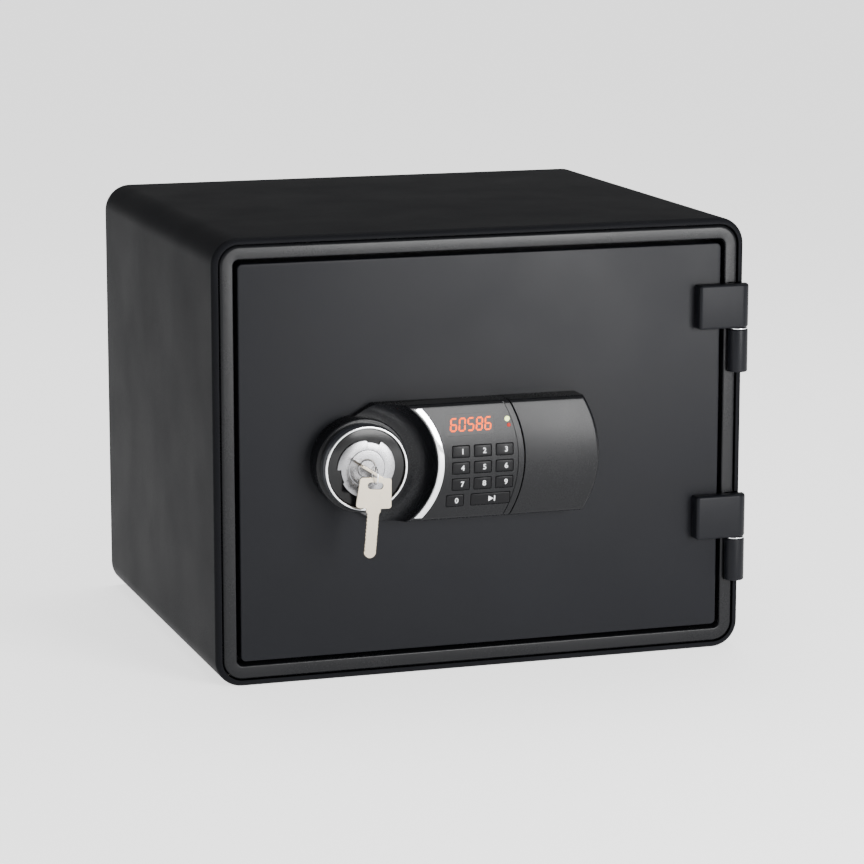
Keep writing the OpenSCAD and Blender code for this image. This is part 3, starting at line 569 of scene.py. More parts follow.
def carve(surface: Surface, tools: Iterable[Surface]) -> Surface:
    """Takes tools out of a surface, one after the other.

    Args:
        surface: what is cut.
        tools: closed surfaces, each of parts that don't overlap.

    Returns:
        What is left, with its faces pointing outwards.
    """
    body = mesh_object("carved", surface)
    cutters = [mesh_object(f"tool_{i}", tool.outward()) for i, tool in enumerate(tools)]
    for cutter in cutters:
        step = body.modifiers.new(cutter.name, "BOOLEAN")
        step.operation, step.solver, step.object = "DIFFERENCE", "EXACT", cutter
    bpy.context.view_layer.update()
    mesh = bpy.data.meshes.new_from_object(
        body.evaluated_get(bpy.context.evaluated_depsgraph_get()))
    points = np.zeros(len(mesh.vertices) * 3, np.float32)
    mesh.vertices.foreach_get("co", points)
    faces = [list(polygon.vertices) for polygon in mesh.polygons]
    bpy.data.meshes.remove(mesh)
    for obj in [body, *cutters]:
        old = obj.data
        bpy.data.objects.remove(obj)
        bpy.data.meshes.remove(old)
    return Surface(points.reshape(-1, 3).astype(float), faces)


def add_piece(
    name: str, surface: Surface, body: str, slot: str, stands_for: Sequence[str] = (),
    extra: Surface | None = None, paint: str = "", crease: float = 32.0,
) -> bpy.types.Object:
    """Makes one piece of the safe, finished and riding on its body.

    Args:
        name: the piece's name.
        surface: its shape.
        body: the moving body that it rides on.
        slot: the record's material slot.
        stands_for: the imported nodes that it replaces.
        extra: printed marks on it.
        paint: the finish's name, where it isn't the slot's own.
        crease: the angle in degrees past which an edge stays sharp.

    Returns:
        The object.
    """
    whole = surface.joined(extra) if extra else surface
    obj = mesh_object(name, whole)
    obj.data.materials.append(paints[paint or slot])
    if extra:
        obj.data.materials.append(paints["print"])
        index = np.zeros(len(obj.data.polygons), np.int32)
        index[len(surface.faces):] = 1
        obj.data.polygons.foreach_set("material_index", index)
    obj.data.polygons.foreach_set("use_smooth", np.ones(len(obj.data.polygons), bool))
    obj.data.set_sharp_from_angle(angle=math.radians(crease))
    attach(obj, body)
    if stands_for:
        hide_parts(*stands_for)
    log.info("%s: %d faces on %s", name, len(whole.faces), body)
    return obj


@dataclass
class Body:
    """Steel wrap, and the moulded frame round the door."""

    corner: float = 22.0
    lip_r: float = 4.5
    lip_w: float = 5.0
    sheet: float = 1.5
    wall: float = 2.5
    depth: float = (BACK - FRONT) / MM
    knuckle_r: float = 8.25
    hinge_x: float = 217.9
    pin_y: float = -3.75
    anchor_x: float = 100.0
    anchor_r: float = 6.0
    partings: tuple[float, float] = (95.0, 270.0)
    leaf_h: float = 36.5
    bolt_window: float = 9.5

    def hinge_room(self) -> list[Surface]:
        """Round pockets that the hinges' barrels stand in."""
        r, h = self.knuckle_r + 0.5, self.leaf_h + 0.5
        return [upright(self.hinge_x, self.pin_y, r, z - h, z + h) for z in self.partings]

    def wrap(self) -> Surface:
        """The wrap: out along the side, round the front edge, in over the lip, and back inside."""
        r = self.lip_r
        outer = arc(r, r, r, 180, 270, 10)
        inner = arc(r, r, r - self.sheet, 270, 180, 6)
        line = path((0, self.depth), outer, (self.lip_w, 0), (self.lip_w, self.sheet), inner,
                    (self.sheet, self.depth))
        radius = self.corner - line[:, 0]
        anchors = [upright(side * self.anchor_x, -FRONT / MM, self.anchor_r, -5, 5)
                   for side in (-1, 1)]
        return carve(carried_round(np.column_stack([line, radius])), self.hinge_room() + anchors)

    def frame_moulding(self) -> Surface:
        """The frame: skirt, rounded face, rebate, stop face, throat and step to the liner."""
        edge, groove, rim, stop, throat, liner = 3.0, 5.8, 17.0, 28.0, 41.5, 60.0
        w = self.wall
        rows: list[tuple[float, float, float]] = []
        for x, y in path((groove, 20), arc(groove + edge, edge, edge, 180, 270, 8),
                         arc(rim - 1.2, 1.2, 1.2, 270, 360, 5)):
            rows.append((x, y, self.corner - x))
        rows += [(rim, stop, 5), (throat - 1, stop, 9.0), (throat, stop + 1, 10), (throat, 69, 10),
                 (throat + 1, 70 - w - 0.5, 10), (liner, 70 - w, 12), (liner, 70, 12),
                 (throat - w, 70, 12.5), (throat - w, stop + w, 12.5), (rim - w, stop + w, 7.5),
                 (rim - w, 3, 7.5), (groove + w, 3.2, self.corner - groove - w),
                 (groove + w, 20, self.corner - groove - w)]
        lock, dog_front, dog_back, dog_half = KNOB_Z / MM, 30.5, 58.0, 11.0
        half, inner, outer = self.bolt_window, 181.0, 200.0
        windows = [brick((-outer, BOLT_DEPTH - half, lock + i * BOLT_GAP - half),
                         (-inner, BOLT_DEPTH + half, lock + i * BOLT_GAP + half))
                   for i in (-1, 0, 1)]
        windows += [brick((inner, dog_front, lock + i * BOLT_GAP - dog_half),
                          (outer, dog_back, lock + i * BOLT_GAP + dog_half)) for i in (-1, 1)]
        cuts = [window.moved(y=FRONT) for window in windows]
        return carve(carried_round(np.array(rows)), self.hinge_room() + [cuts[0].joined(*cuts[1:])])

    def build(self) -> None:
        """Makes the body's pieces."""
        add_piece("shell_wrap", self.wrap(), "safe_body", "black_powder_coat", ["outer_shell"])
        add_piece("frame_moulding", self.frame_moulding(), "safe_body", "black_abs",
                  ["front_frame"])


@dataclass
class Hinges:
    """Door leaves above their knuckles, with a bright washer in each parting."""

    x: float = 217.9
    pin_y: float = -3.75
    r: float = 8.25
    left: float = 180.9
    leaf_h: float = 36.5
    face_x: float = 202.5
    partings: tuple[float, float] = (95.0, 270.0)
    edge: float = 2.2

    def leaf_outline(self, inset: np.ndarray) -> np.ndarray:
        """Plan of a leaf drawn in by an inset: round its barrel, and along its flat arm."""
        e = inset[:, None]
        r = self.r - e
        y1 = -0.5 - e
        top = np.arcsin(np.clip((y1 - self.pin_y) / r, -1, 1))
        t = np.linspace(0, 1, 25)[None, :]
        a = -math.pi / 2 + t * (top + math.pi / 2)
        bx, by = self.x + r * np.cos(a), self.pin_y + r * np.sin(a)
        corner = 3.0 - 0.8 * np.minimum(e, 2.5)
        c = np.radians(np.linspace(180, 270, 9))[None, :]
        cx = self.left + e + corner + corner * np.cos(c)
        cy = self.pin_y - self.r + e + corner + corner * np.sin(c)
        ones = np.ones_like(e)
        tail_x = np.hstack([ones * self.face_x, ones * self.face_x, ones * self.left + e])
        tail_y = np.hstack([y1, 0.0 - e, 0.0 - e])
        return np.stack([np.hstack([bx, tail_x, cx]), np.hstack([by, tail_y, cy])], axis=-1)

    def stack(self, z0: float, z1: float, plan: object) -> Surface:
        """A solid on a plan whose top and bottom edges are rounded."""
        a = np.linspace(0, math.pi / 2, 7)
        ins = self.edge * (1 - np.sin(a))
        up = self.edge * (1 - np.cos(a))
        inset = np.concatenate([ins, ins[::-1]])
        z = np.concatenate([z0 + up, z1 - up[::-1]])
        outline = plan(inset)
        y = outline[..., 1] + FRONT / MM
        up_z = np.broadcast_to(z[:, None], y.shape)
        return loft(np.stack([outline[..., 0], y, up_z], axis=-1) * MM)

    def barrel(self, inset: np.ndarray) -> np.ndarray:
        """Plan of a knuckle drawn in by an inset: a circle."""
        t = np.linspace(0, 2 * math.pi, 64, endpoint=False)[None, :]
        r = self.r - inset[:, None]
        return np.stack([self.x + r * np.cos(t), self.pin_y + r * np.sin(t)], axis=-1)

    def build(self) -> None:
        """Makes both hinges."""
        leaves, knuckles, washers = [], [], []
        for z in self.partings:
            leaves.append(self.stack(z + 0.3, z + self.leaf_h, self.leaf_outline))
            soft = replace(self, edge=1.2)
            knuckles.append(soft.stack(z - self.leaf_h, z - 1, soft.barrel))
            tang = brick((219.2, -3.75, z - self.leaf_h), (222.4, 45, z - 1))
            knuckles.append(tang.moved(0, FRONT, 0))
            bright = replace(self, r=self.r - 0.6, edge=0.3)
            washers.append(bright.stack(z - 1, z, bright.barrel))
        # the leaves and knuckles take the lit copy of the coat, for brighter highlights than the shell
        add_piece("hinge_leaf_pair", leaves[0].joined(leaves[1]), "door", "black_powder_coat",
                  ["hinge_leaves"], paint="door_coat_lit_copy")
        add_piece("hinge_knuckle_pair", knuckles[0].joined(*knuckles[1:]), "safe_body",
                  "black_powder_coat", ["hinge_knuckles"], paint="door_coat_lit_copy")
        add_piece("hinge_washer_pair", washers[0].joined(washers[1]), "safe_body",
                  "bright_chrome", ["hinge_washers"])


@dataclass
class Door:
    """Front pan of the door, and the cover over the bolt work on its back."""

    inset: float = 20.5
    r: float = 4.0
    edge: float = 1.0
    bolt_hole: float = 8.7

    def pan(self) -> Surface:
        """The pan: open at the back, its front edge rounded, its sheet 1.5 thick."""
        e = self.edge
        front = arc(self.inset + e, e, e, 270, 180, 5)
        outside = [(x, y, max(self.r - (x - self.inset), 0.5)) for x, y in front]
        rows = outside + [(self.inset, 25, self.r), (self.inset + 1.5, 25, self.r - 1.5),
                          (self.inset + 1.5, 1.5, self.r - 1.5)]
        p = np.array(rows) * MM
        return loft(round_rings(p[:, 0], p[:, 1], p[:, 2], 8))

    def plug(self) -> Surface:
        """The cover: a shallow tray with rounded rim, its mouth on the door's back plate."""
        rows = [(52.0, 63.5, 5.5), (52.0, 26.5, 5.5), (49.5, 26.5, 8.0)]
        rows += [(49.5 + x, 66 - y, 8.0) for x, y in arc(3, 3, 3, 180, 270, 6)]
        p = np.array(rows) * MM
        tray = loft(round_rings(p[:, 0], p[:, 1], p[:, 2], 10))
        lock, side_x, dog_half = KNOB_Z / MM, 165.0, 9.3
        cuts = [brick((side_x, 39.7, lock + i * BOLT_GAP - dog_half),
                      (side_x + 15, 54.3, lock + i * BOLT_GAP + dog_half)) for i in (-1, 1)]
        bar = drilled(0, 0, self.bolt_hole, -10, 10)
        bar = Surface(bar.points[:, [1, 0, 2]], bar.faces).outward()
        cuts += [bar.moved(-174 * MM, BOLT_DEPTH * MM, (lock + i * BOLT_GAP) * MM)
                 for i in (-1, 0, 1)]
        cuts = [cut.moved(y=FRONT) for cut in cuts]
        return carve(tray, [cuts[0].joined(*cuts[1:])])

    def bolts(self) -> Surface:
        """Three round bolts along x, their tips chamfered and lightly crowned."""
        low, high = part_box("locking_bolts")
        r = (high.y - low.y) / 2 / MM
        x0, x1 = low.x / MM, high.x / MM
        line = path((0.001, x0), (r - 3, x0 + 0.12), (r - 1.6, x0 + 0.5), (r, x0 + 2.1), (r, x1),
                    (0.001, x1))
        bar = turned(line, closed=False, steps=72)
        bar = Surface(bar.points[:, [1, 0, 2]], bar.faces).outward().moved(y=(low.y + high.y) / 2)
        gap, middle = (high.z - low.z) / 2 - r * MM, (high.z + low.z) / 2
        three = [bar.moved(z=middle + i * gap) for i in (-1, 0, 1)]
        return three[0].joined(three[1], three[2])

    def build(self) -> None:
        """Makes the door's pieces."""
        add_piece("round_bolts", self.bolts(), "bolt_work", "bright_chrome", ["locking_bolts"])
        # the door pan takes the lit copy of the coat, for brighter highlights than the shell
        add_piece("door_pan", self.pan(), "door", "black_powder_coat", ["door_panel"],
                  paint="door_coat_lit_copy")
        add_piece("bolt_work_cover", self.plug(), "door", "black_abs", ["door_inner_cover"])


@dataclass
class Housing:
    """Keypad housing, its bright arc, display and lamps, and the battery cover."""

    half: float = 47.0
    edge_d: float = 24.0
    mid_d: float = 29.5
    split: float = 132.5
    end: float = 196.5
    end_r: float = 100.0
    wall: float = 2.5
    dish_r: float = 59.0
    collar_r: float = 38.0
    arc_in: float = 59.6
    arc_out: float = 65.0
    arc_half: float = 44.0
    keys: dict = field(default_factory=dict)

    def crown(self, z: np.ndarray, grow: float = 0.0) -> np.ndarray:
        """y of the crowned front: a circle through both edges and the middle, grown by grow."""
        rise = self.mid_d - self.edge_d
        r = (self.half**2 + rise**2) / (2 * rise)
        return r - self.mid_d - np.sqrt((r + grow) ** 2 - z**2)

    def bow(self, x: float, z: np.ndarray) -> np.ndarray:
        """x of a line across the housing that bows out to x in its middle."""
        return x - self.end_r + np.sqrt(self.end_r**2 - z**2)

    def heights(self, half: float, edge: float, middle: int = 48) -> tuple[np.ndarray, np.ndarray]:
        """Heights from -half to half, crowded at the ends, and how far the front falls back there
        on a quarter circle of radius edge.
        """
        a = np.linspace(0, math.pi / 2, 8)
        end = half - edge + edge * np.sin(a)
        z = np.concatenate([-end[::-1], np.linspace(-half + edge, half - edge, middle)[1:-1], end])
        fall = edge - np.sqrt(np.maximum(edge**2 - np.maximum(np.abs(z) - half + edge, 0) ** 2, 0))
        return z, fall

    def shell(self) -> Surface:
        """The housing before it is cut: its mouth slants in towards the knob, its front is
        crowned, and its long edges are rounded.
        """
        z, fall = self.heights(self.half, 2.6)
        mouth = -10 + np.maximum(np.abs(z) - 34, 0) / 13 * 23
        return stacked(z, mouth, self.bow(self.split - 0.4, z), self.crown(z) + fall, 0.0, 0.8, 0.5)

    def cutters(self) -> list[Surface]:
        """Dish and collar hole, arc groove, hollow, key windows, display window, lamp holes, and
        the fine line beside the battery cover.
        """
        lip = path((0.001, -40), (self.dish_r, -40), arc(self.collar_r, -28.5, 21, 0, 90, 20),
                   (self.collar_r, 1), (0.001, 1))
        dish = turned(lip, closed=False, steps=160)
        z = np.linspace(-self.arc_half, self.arc_half, 61)
        groove = stacked(z, np.sqrt(self.arc_in**2 - z**2), np.sqrt(self.arc_out**2 - z**2),
                         -40.0, -22.0)
        z = np.linspace(-self.half + self.wall, self.half - self.wall, 41)
        hollow = stacked(z, np.sqrt(67.5**2 - z**2), self.bow(self.split - 0.4 - self.wall, z),
                         self.crown(z, -self.wall), 1.0)
        holes = []
        for x, zk, w in self.keys.values():
            holes.append(self.window(x, zk, w + 0.6, 10.2, 1.2))
        holes.append(self.window(86.75, 29.75, 40.5, 17.5, 1.5))
        holes += [drilled(118, 32.5, 2.2, -40, -18), drilled(119.2, 27.6, 1.6, -40, -18)]
        z = np.linspace(-self.half - 1, self.half + 1, 61)
        line = stacked(z, self.bow(self.split - 6.2, z), self.bow(self.split - 5.3, z), -40.0,
                       self.crown(z) + 0.7)
        return [dish, groove, hollow, holes[0].joined(*holes[1:]), line]

    def window(self, x: float, z: float, w: float, h: float, r: float) -> Surface:
        """A bar along y with a round-cornered section."""
        pts = np.vstack([arc(sx * (w / 2 - r), sz * (h / 2 - r), r, a, a + 90, 4)
                         for sx, sz, a in ((1, 1, 0), (-1, 1, 90), (-1, -1, 180), (1, -1, 270))])
        flat = np.stack([np.column_stack([pts[:, 0] + x, np.full(len(pts), y), pts[:, 1] + z])
                         for y in (-40.0, -18.0)])
        return loft(flat * MM)

    def cover(self) -> Surface:
        """The battery cover: rounded along its top, bottom and bowed end, hollow behind."""
        z, fall = self.heights(self.half, 2.6)
        end = self.bow(self.end, z)
        body = stacked(z, self.bow(self.split + 0.4, z), end, self.crown(z) + fall, -0.3,
                       0.5, 3.0, 8)
        z = np.linspace(-self.half + self.wall, self.half - self.wall, 41)
        hollow = stacked(z, self.bow(self.split + 0.4, z) - 3, self.bow(self.end - self.wall, z),
                         self.crown(z, -self.wall), 1.0)
        return carve(body, [hollow])

    def bright_arc(self) -> Surface:
        """The chrome arc: a strip between two circles round the knob, standing 0.8 proud."""
        z = np.linspace(-self.arc_half, self.arc_half, 81)
        return stacked(z, np.sqrt(self.arc_in**2 - z**2), np.sqrt(self.arc_out**2 - z**2),
                       self.crown(z, 0.8), -22.0, 1.1, 1.1, 6)

    def pane(self) -> Surface:
        """The display's window, flush with the crowned front."""
        z = np.concatenate([21.05 + 1.4 * (1 - np.cos(np.linspace(0, 1.57, 6))),
                            38.45 - 1.4 * (1 - np.cos(np.linspace(1.57, 0, 6)))])
        quarter = 1.57
        draw = 1.4 * (1 - np.sin(np.concatenate([np.linspace(0, quarter, 6),
                                                 np.linspace(quarter, 0, 6)])))
        return stacked(z, 66.55 + draw, 106.95 - draw, self.crown(z), self.crown(z) + 1.5)

    def segments(self, text: str, x: float, z: float, h: float, w: float, step: float) -> Surface:
        """Seven-segment digits, each bar a six-sided prism, leaning a little to the right."""
        bars = {"a": (0, 1, 0), "g": (0, 0, 0), "d": (0, -1, 0), "f": (-1, 0.5, 1), "b": (1, 0.5, 1),
                "e": (-1, -0.5, 1), "c": (1, -0.5, 1)}
        digits = {"0": "abcdef", "1": "bc", "2": "abged", "3": "abgcd", "4": "fgbc", "5": "afgcd",
                  "6": "afgedc", "7": "abc", "8": "abcdefg", "9": "abcdfg"}
        t, made = 0.62, []
        for i, digit in enumerate(text):
            for bar in digits[digit]:
                bx, bz, upright = bars[bar]
                long = (h / 2 if upright else w) / 2 - 0.22
                shape = np.array([(-long, 0), (-long + t, t), (long - t, t), (long, 0),
                                  (long - t, -t), (-long + t, -t)])
                if upright:
                    shape = shape[:, ::-1]
                px = shape[:, 0] + bx * w / 2 + x + i * step
                pz = shape[:, 1] + bz * h / 2 + z
                px = px + (pz - z) * 0.10
                y = self.crown(pz)
                made.append(loft(np.stack([np.column_stack([px, y - 0.06, pz]),
                                           np.column_stack([px, y + 0.3, pz])]) * MM))
        return made[0].joined(*made[1:])

    def lens(self, x: float, z: float, r: float) -> Surface:
        """A lamp's domed lens: radius falls to nothing as the dome rises."""
        a = np.linspace(0, 1.45, 7)
        top = self.crown(np.array([z]))[0]
        rows = np.column_stack([r * np.cos(a), top - 0.48 * np.sin(a)])
        return turned(path((r, -15), rows), closed=False, steps=32).moved(x * MM, 0, z * MM)

    def build(self) -> None:
        """Makes the housing's pieces."""
        add_piece("keypad_housing", carve(self.shell(), self.cutters()).on_lock(), "door",
                  "black_abs", ["lock_housing"])
        add_piece("battery_lid_moulding", self.cover().on_lock(), "battery_lid", "black_abs",
                  ["battery_cover"])
        add_piece("dish_trim_arc", self.bright_arc().on_lock(), "door", "bright_chrome",
                  ["chrome_arc"])
        add_piece("display_pane", self.pane().on_lock(), "door", "display_smoke",
                  ["display_window"])
        lit = self.segments("60586", 73.0, 29.9, 9.6, 4.6, 7.2)
        add_piece("display_digits", lit.on_lock(), "door", "display_orange")
        add_piece("green_lamp_lens", self.lens(118, 32.5, 2.15).on_lock(), "door", "green_lens",
                  ["green_led"])
        add_piece("red_lamp_lens", self.lens(119.2, 27.6, 1.55).on_lock(), "door", "red_lens",
                  ["red_led"])


@dataclass
class Keypad:
    """Ten digit keys and the start key, each on its own body."""

    housing: Housing
    w: float = 14.6
    h: float = 9.6
    start_w: float = 33.0

    def places(self) -> dict[str, tuple[float, float, float]]:
        """Middle and width of each key, by its body's name."""
        out = {"button_0": (74.2, -31.4, self.w), "button_start": (104.0, -31.4, self.start_w)}
        for n in range(1, 10):
            row, col = divmod(n - 1, 3)
            out[f"button_{n}"] = (78.6 + col * 18.3, 8.5 - row * 13.3, self.w)
        return out

    def cap(self, x: float, z: float, w: float) -> Surface:
        """A cap: crowned with the housing, its rim bevelled, with a flange behind the wall."""
        e = 0.9
        a = np.linspace(0, math.pi / 2, 5)
        up = self.h / 2 - e + e * np.sin(a)
        draw = e * (1 - np.cos(a))
        zz = np.concatenate([-up[::-1], np.linspace(-self.h / 2 + e, self.h / 2 - e, 6)[1:-1], up])
        dd = np.concatenate([draw[::-1], np.zeros(4), draw])
        front = self.housing.crown(zz + z, 0.3) + dd * 0.8
        body = stacked(zz + z, x - w / 2 + dd, x + w / 2 - dd, front,
                       self.housing.crown(zz + z) + 2.8,
                       0.8, 0.8, 3)
        deep = self.housing.crown(np.array([z]))[0]
        zf = np.array([z - self.h / 2 - 1.0, z + self.h / 2 + 1.0])
        flange = stacked(zf, x - w / 2 - 1.0, x + w / 2 + 1.0, deep + 2.9, deep + 4.3)
        return body.joined(flange)

    def glyph(self, text: str, x: float, z: float, size: float) -> Surface:
        """A digit as a thin raised print on the crowned front."""
        curve = bpy.data.curves.new("glyph", "FONT")
        curve.body, curve.size, curve.extrude = text, size, 0.06
        curve.align_x, curve.align_y, curve.resolution_u = "CENTER", "CENTER", 3
        curve.offset = 0.09
        obj = bpy.data.objects.new("glyph", curve)
        bpy.context.scene.collection.objects.link(obj)
        bpy.context.view_layer.update()
        mesh = bpy.data.meshes.new_from_object(
        obj.evaluated_get(bpy.context.evaluated_depsgraph_get()))
        flat = np.zeros(len(mesh.vertices) * 3, np.float32)
        mesh.vertices.foreach_get("co", flat)
        flat = flat.reshape(-1, 3).astype(float)
        faces = [list(p.vertices) for p in mesh.polygons]
        bpy.data.objects.remove(obj)
        bpy.data.curves.remove(curve)
        bpy.data.meshes.remove(mesh)
        flat[:, :2] -= (flat[:, :2].min(0) + flat[:, :2].max(0)) / 2
        zz = flat[:, 1] + z
        y = self.housing.crown(zz, 0.3) - flat[:, 2]
        return Surface(np.column_stack([flat[:, 0] + x, y, zz]) * MM, faces).outward()

    def arrow(self, x: float, z: float) -> Surface:
        """A generic start sign: a triangle pointing right beside a bar."""
        tri = np.array([(-2.6, 2.2), (-2.6, -2.2), (1.4, 0)])
        bar = np.array([(2.0, 2.2), (2.0, -2.2), (2.9, -2.2), (2.9, 2.2)])
        made = []
        for shape in (tri, bar):
            px, pz = shape[:, 0] + x, shape[:, 1] + z
            y = self.housing.crown(pz, 0.3)
            made.append(loft(np.stack([np.column_stack([px, y - 0.06, pz]),
                                       np.column_stack([px, y + 0.2, pz])]) * MM))
        return made[0].joined(made[1])

    def build(self) -> None:
        """Makes every key."""
        for body, (x, z, w) in self.places().items():
            name = body.split("_")[1]
            mark = self.arrow(x + 1, z) if name == "start" else self.glyph(name, x + 1.4, z, 6.0)
            add_piece(f"keycap_{name}", self.cap(x, z, w).on_lock(), body, "key_caps",
                      [f"key_{name}"], extra=mark.on_lock())


@dataclass
class Knob:
    """Collar, black knob in its bright ring, stepped rosette, and the key lock's face."""

    ring: float = 35.0
    ring_in: float = 32.0
    collar: float = 38.0

    def bowl_collar(self) -> Surface:
        """The fixed collar: a ring with a rounded front rim."""
        return turned(path((15, -19), (15, -0.05), (self.collar - 0.02, -0.05),
                           arc(self.collar - 1.6, -17.4, 1.6, 0, -90, 6)))

    def bright_ring(self) -> Surface:
        """The bright ring: a straight skirt, a wide outer bevel and a rounded crest."""
        r = 0.55
        return turned(path((self.ring_in, -19.4), (self.ring, -19.4), (self.ring, -26.8),
                           (self.ring - 0.15, -27.2), arc(33.35 - 0.3, -31 + 0.8, 0.8, 25, -90, 6),
                           arc(self.ring_in + r, -31 + r, r, -90, -180, 5)))

    def face(self) -> Surface:
        """The black knob: a shallow cone inside the ring that falls towards its middle."""
        return turned(path((11, -28.5), (11, -5), (14, -3), (14, -19.5),
                           (self.ring_in - 0.05, -19.5),
                           (self.ring_in - 0.05, -27.6),
                           arc(self.ring_in - 1.0, -27.7, 0.9, 0, -90, 4)))

    def rosette(self) -> Surface:
        """The rosette: a disc whose radius, in each third of a turn, jumps out and winds back in,
        with its front edge bevelled.
        """
        t = np.radians(np.linspace(0, 120, 49))
        reach = 1.5 * np.cos(t) + np.sqrt(22.5**2 - (1.5 * np.sin(t)) ** 2)
        reach = np.where(np.degrees(t) <= 90, reach, 21.0)
        angle = np.concatenate([t + math.radians(a) for a in (60, 180, 300)])
        radius = np.tile(reach, 3)
        draw = [(0.0, -28.5), (0.0, -29.8), (0.2, -30.2), (0.6, -30.4)]
        rings = [np.column_stack([(radius - d) * np.cos(angle), np.full(len(angle), y),
                                  -(radius - d) * np.sin(angle)]) for d, y in draw]
        hole = [np.column_stack([15.05 * np.cos(angle), np.full(len(angle), y),
                                 -15.05 * np.sin(angle)])
                for y in (-30.4, -28.5)]
        return loft(np.stack(rings + hole) * MM, closed=True)

    def barrel(self) -> Surface:
        """The lock's round face with its barrel behind, bored for the plug."""
        return turned(path((7.06, -30.6), (7.06, -5.05), (10.95, -5.05), (10.95, -28.5),
                           (15, -28.5), (15, -30.0), arc(14.2, -30.0, 0.8, 0, -90, 5),
                           (8.2, -30.8), (7.4, -30.8)))

    def plug(self) -> Surface:
        """The turning plug, with the key's slot cut across its face."""
        body = turned(path((0.001, -31.2), (6.4, -31.2), (7, -30.6), (7, -5.2), (0.001, -5.2)),
                      closed=False, steps=96)
        slot = brick((-4.3, -33, -1.3), (4.3, -9.5, 1.3)).leaned(33)
        return carve(body, [slot])

    def build(self) -> None:
        """Makes the knob's pieces."""
        add_piece("knob_collar_ring", self.bowl_collar().on_lock(), "door", "black_abs",
                  ["knob_collar"])
        add_piece("knob_bright_ring", self.bright_ring().on_lock(), "knob", "bright_chrome",
                  ["chrome_ring"])
        add_piece("knob_black_face", self.face().on_lock(), "knob", "black_gloss_abs",
                  ["knob_body"])
        add_piece("stepped_rosette", self.rosette().on_lock(), "knob", "satin_nickel",
                  ["lock_rosette"])
        add_piece("lock_barrel", self.barrel().on_lock(), "knob", "satin_nickel", ["lock_cylinder"])
        add_piece("keyway_plug", self.plug().on_lock(), "key_plug", "satin_nickel", ["lock_plug"])


@dataclass
class Keys:
    """The key in the lock, the split ring, and the spare key that hangs from it."""

    tilt: float = 33.0
    lean: float = 5.0
    thick: float = 2.0
    hang_y: float = -53.1
    hang_z: float = -1.0
    ring_r: float = 7.0
    bow_front: float = 51.5

    def flat_key(self, stations: Sequence[tuple[float, float, float]], slot_top: float) -> Surface:
        """A key cut from plate: left and right sides at each height, with a long hole in its bow.

        Args:
            stations: (height, left, right) rows, from the tip up.
            slot_top: height of the hole's upper side.

        Returns:
            The key, in the XZ plane.
        """
        s = np.array(stations)
        body = plate(s[:, 0], s[:, 1], s[:, 2], self.thick, 0.3)
        pts = np.vstack([arc(side * 3.7, slot_top - 2.8, 2.8, a, a + 180, 10)
                         for side, a in ((1, -90), (-1, 90))])
        tool = loft(np.stack([np.column_stack([pts[:, 0], np.full(len(pts), y), pts[:, 1]])
                              for y in (-3.0, 3.0)]) * MM)
        recess = [brick((-4.6, y0, slot_top - 14.5), (4.6, y1, slot_top - 8.2))
                  for y0, y1 in ((-1.2, -0.85), (0.85, 1.2))]
        return carve(body, [tool, recess[0].joined(recess[1])])

    def rounded_head(self, z0: float, z1: float, w0: float, w1: float, r: float) -> list:
        """Rows of a head with rounded corners: half width eases in by a quarter circle."""
        a = np.linspace(0, math.pi / 2, 6)
        rows = [(z0 + r * (1 - math.cos(t)), w0 - r * (1 - math.sin(t))) for t in a]
        rows += [(z1 - r * (1 - math.cos(t)), w1 - r * (1 - math.sin(t))) for t in a[::-1]]
        return [(z, -w, w) for z, w in rows]

    def spare(self) -> Surface:
        """The spare key: round tip, cut blade, neck and a head that widens downwards."""
        a = np.linspace(math.radians(75), 0, 7)
        rows = [(-54 - 5 * math.sin(t), -5 * math.cos(t), 5 * math.cos(t)) for t in a]
        z = np.linspace(-53, -24, 63)
        bite = 0.75 * np.abs(((z * 0.34) % 1) - 0.5) * 2
        rows += [(zz, -5 + b, 5 - 0.6 * b) for zz, b in zip(z, bite)]
        rows += [(-22, -6, 6), (-19.4, -6, 6)]
        rows += self.rounded_head(-19.0, 5.0, 14.5, 13.0, 2.2)
        return self.flat_key(rows, 1.5).leaned(self.lean)

    def inserted(self) -> Surface:
        """The key in the lock: its blade goes in along the axis, its bow stands out."""
        rows = [(10, -3.0, 3.0), (11, -4, 4), (32.0, -4, 4), (32.6, -4, 4)]
        rows += self.rounded_head(33.0, self.bow_front, 14.0, 13.4, 2.2)
        key = self.flat_key(rows, self.bow_front - 3.5)
        pts = key.points[:, [0, 2, 1]] * np.array([1, -1, 1])
        return Surface(pts, key.faces).outward().leaned(self.tilt)

    def split_ring(self) -> Surface:
        """Two turns of wire: x creeps across as the angle goes round twice."""
        t = np.linspace(0.1, 4 * math.pi - 0.1, 160)
        a = np.linspace(0, 2 * math.pi, 12, endpoint=False)
        r = self.ring_r + 0.38 * np.cos(a)[None, :]
        x = ((t / (4 * math.pi)) - 0.5)[:, None] * 0.82 + 0.38 * np.sin(a)[None, :]
        y = r * np.sin(t)[:, None]
        z = r * np.cos(t)[:, None]
        return loft(np.stack([x, y, z], axis=-1) * MM)

    def build(self) -> None:
        """Makes the keys and their ring."""
        add_piece("key_in_lock", self.inserted().on_lock(), "door_key", "key_nickel",
                  ["inserted_key"])
        ring = self.split_ring().moved(0, self.hang_y * MM, self.hang_z * MM)
        add_piece("split_key_ring", ring.on_lock(), "ring", "bright_chrome", ["key_ring"],
                  crease=60)
        spare = self.spare().moved(0, self.hang_y * MM, (self.hang_z - self.ring_r) * MM)
        add_piece("hanging_spare_key", spare.on_lock(), "spare", "key_nickel", ["spare_key"])


# ------------------------------------------------------------------------------ room and camera


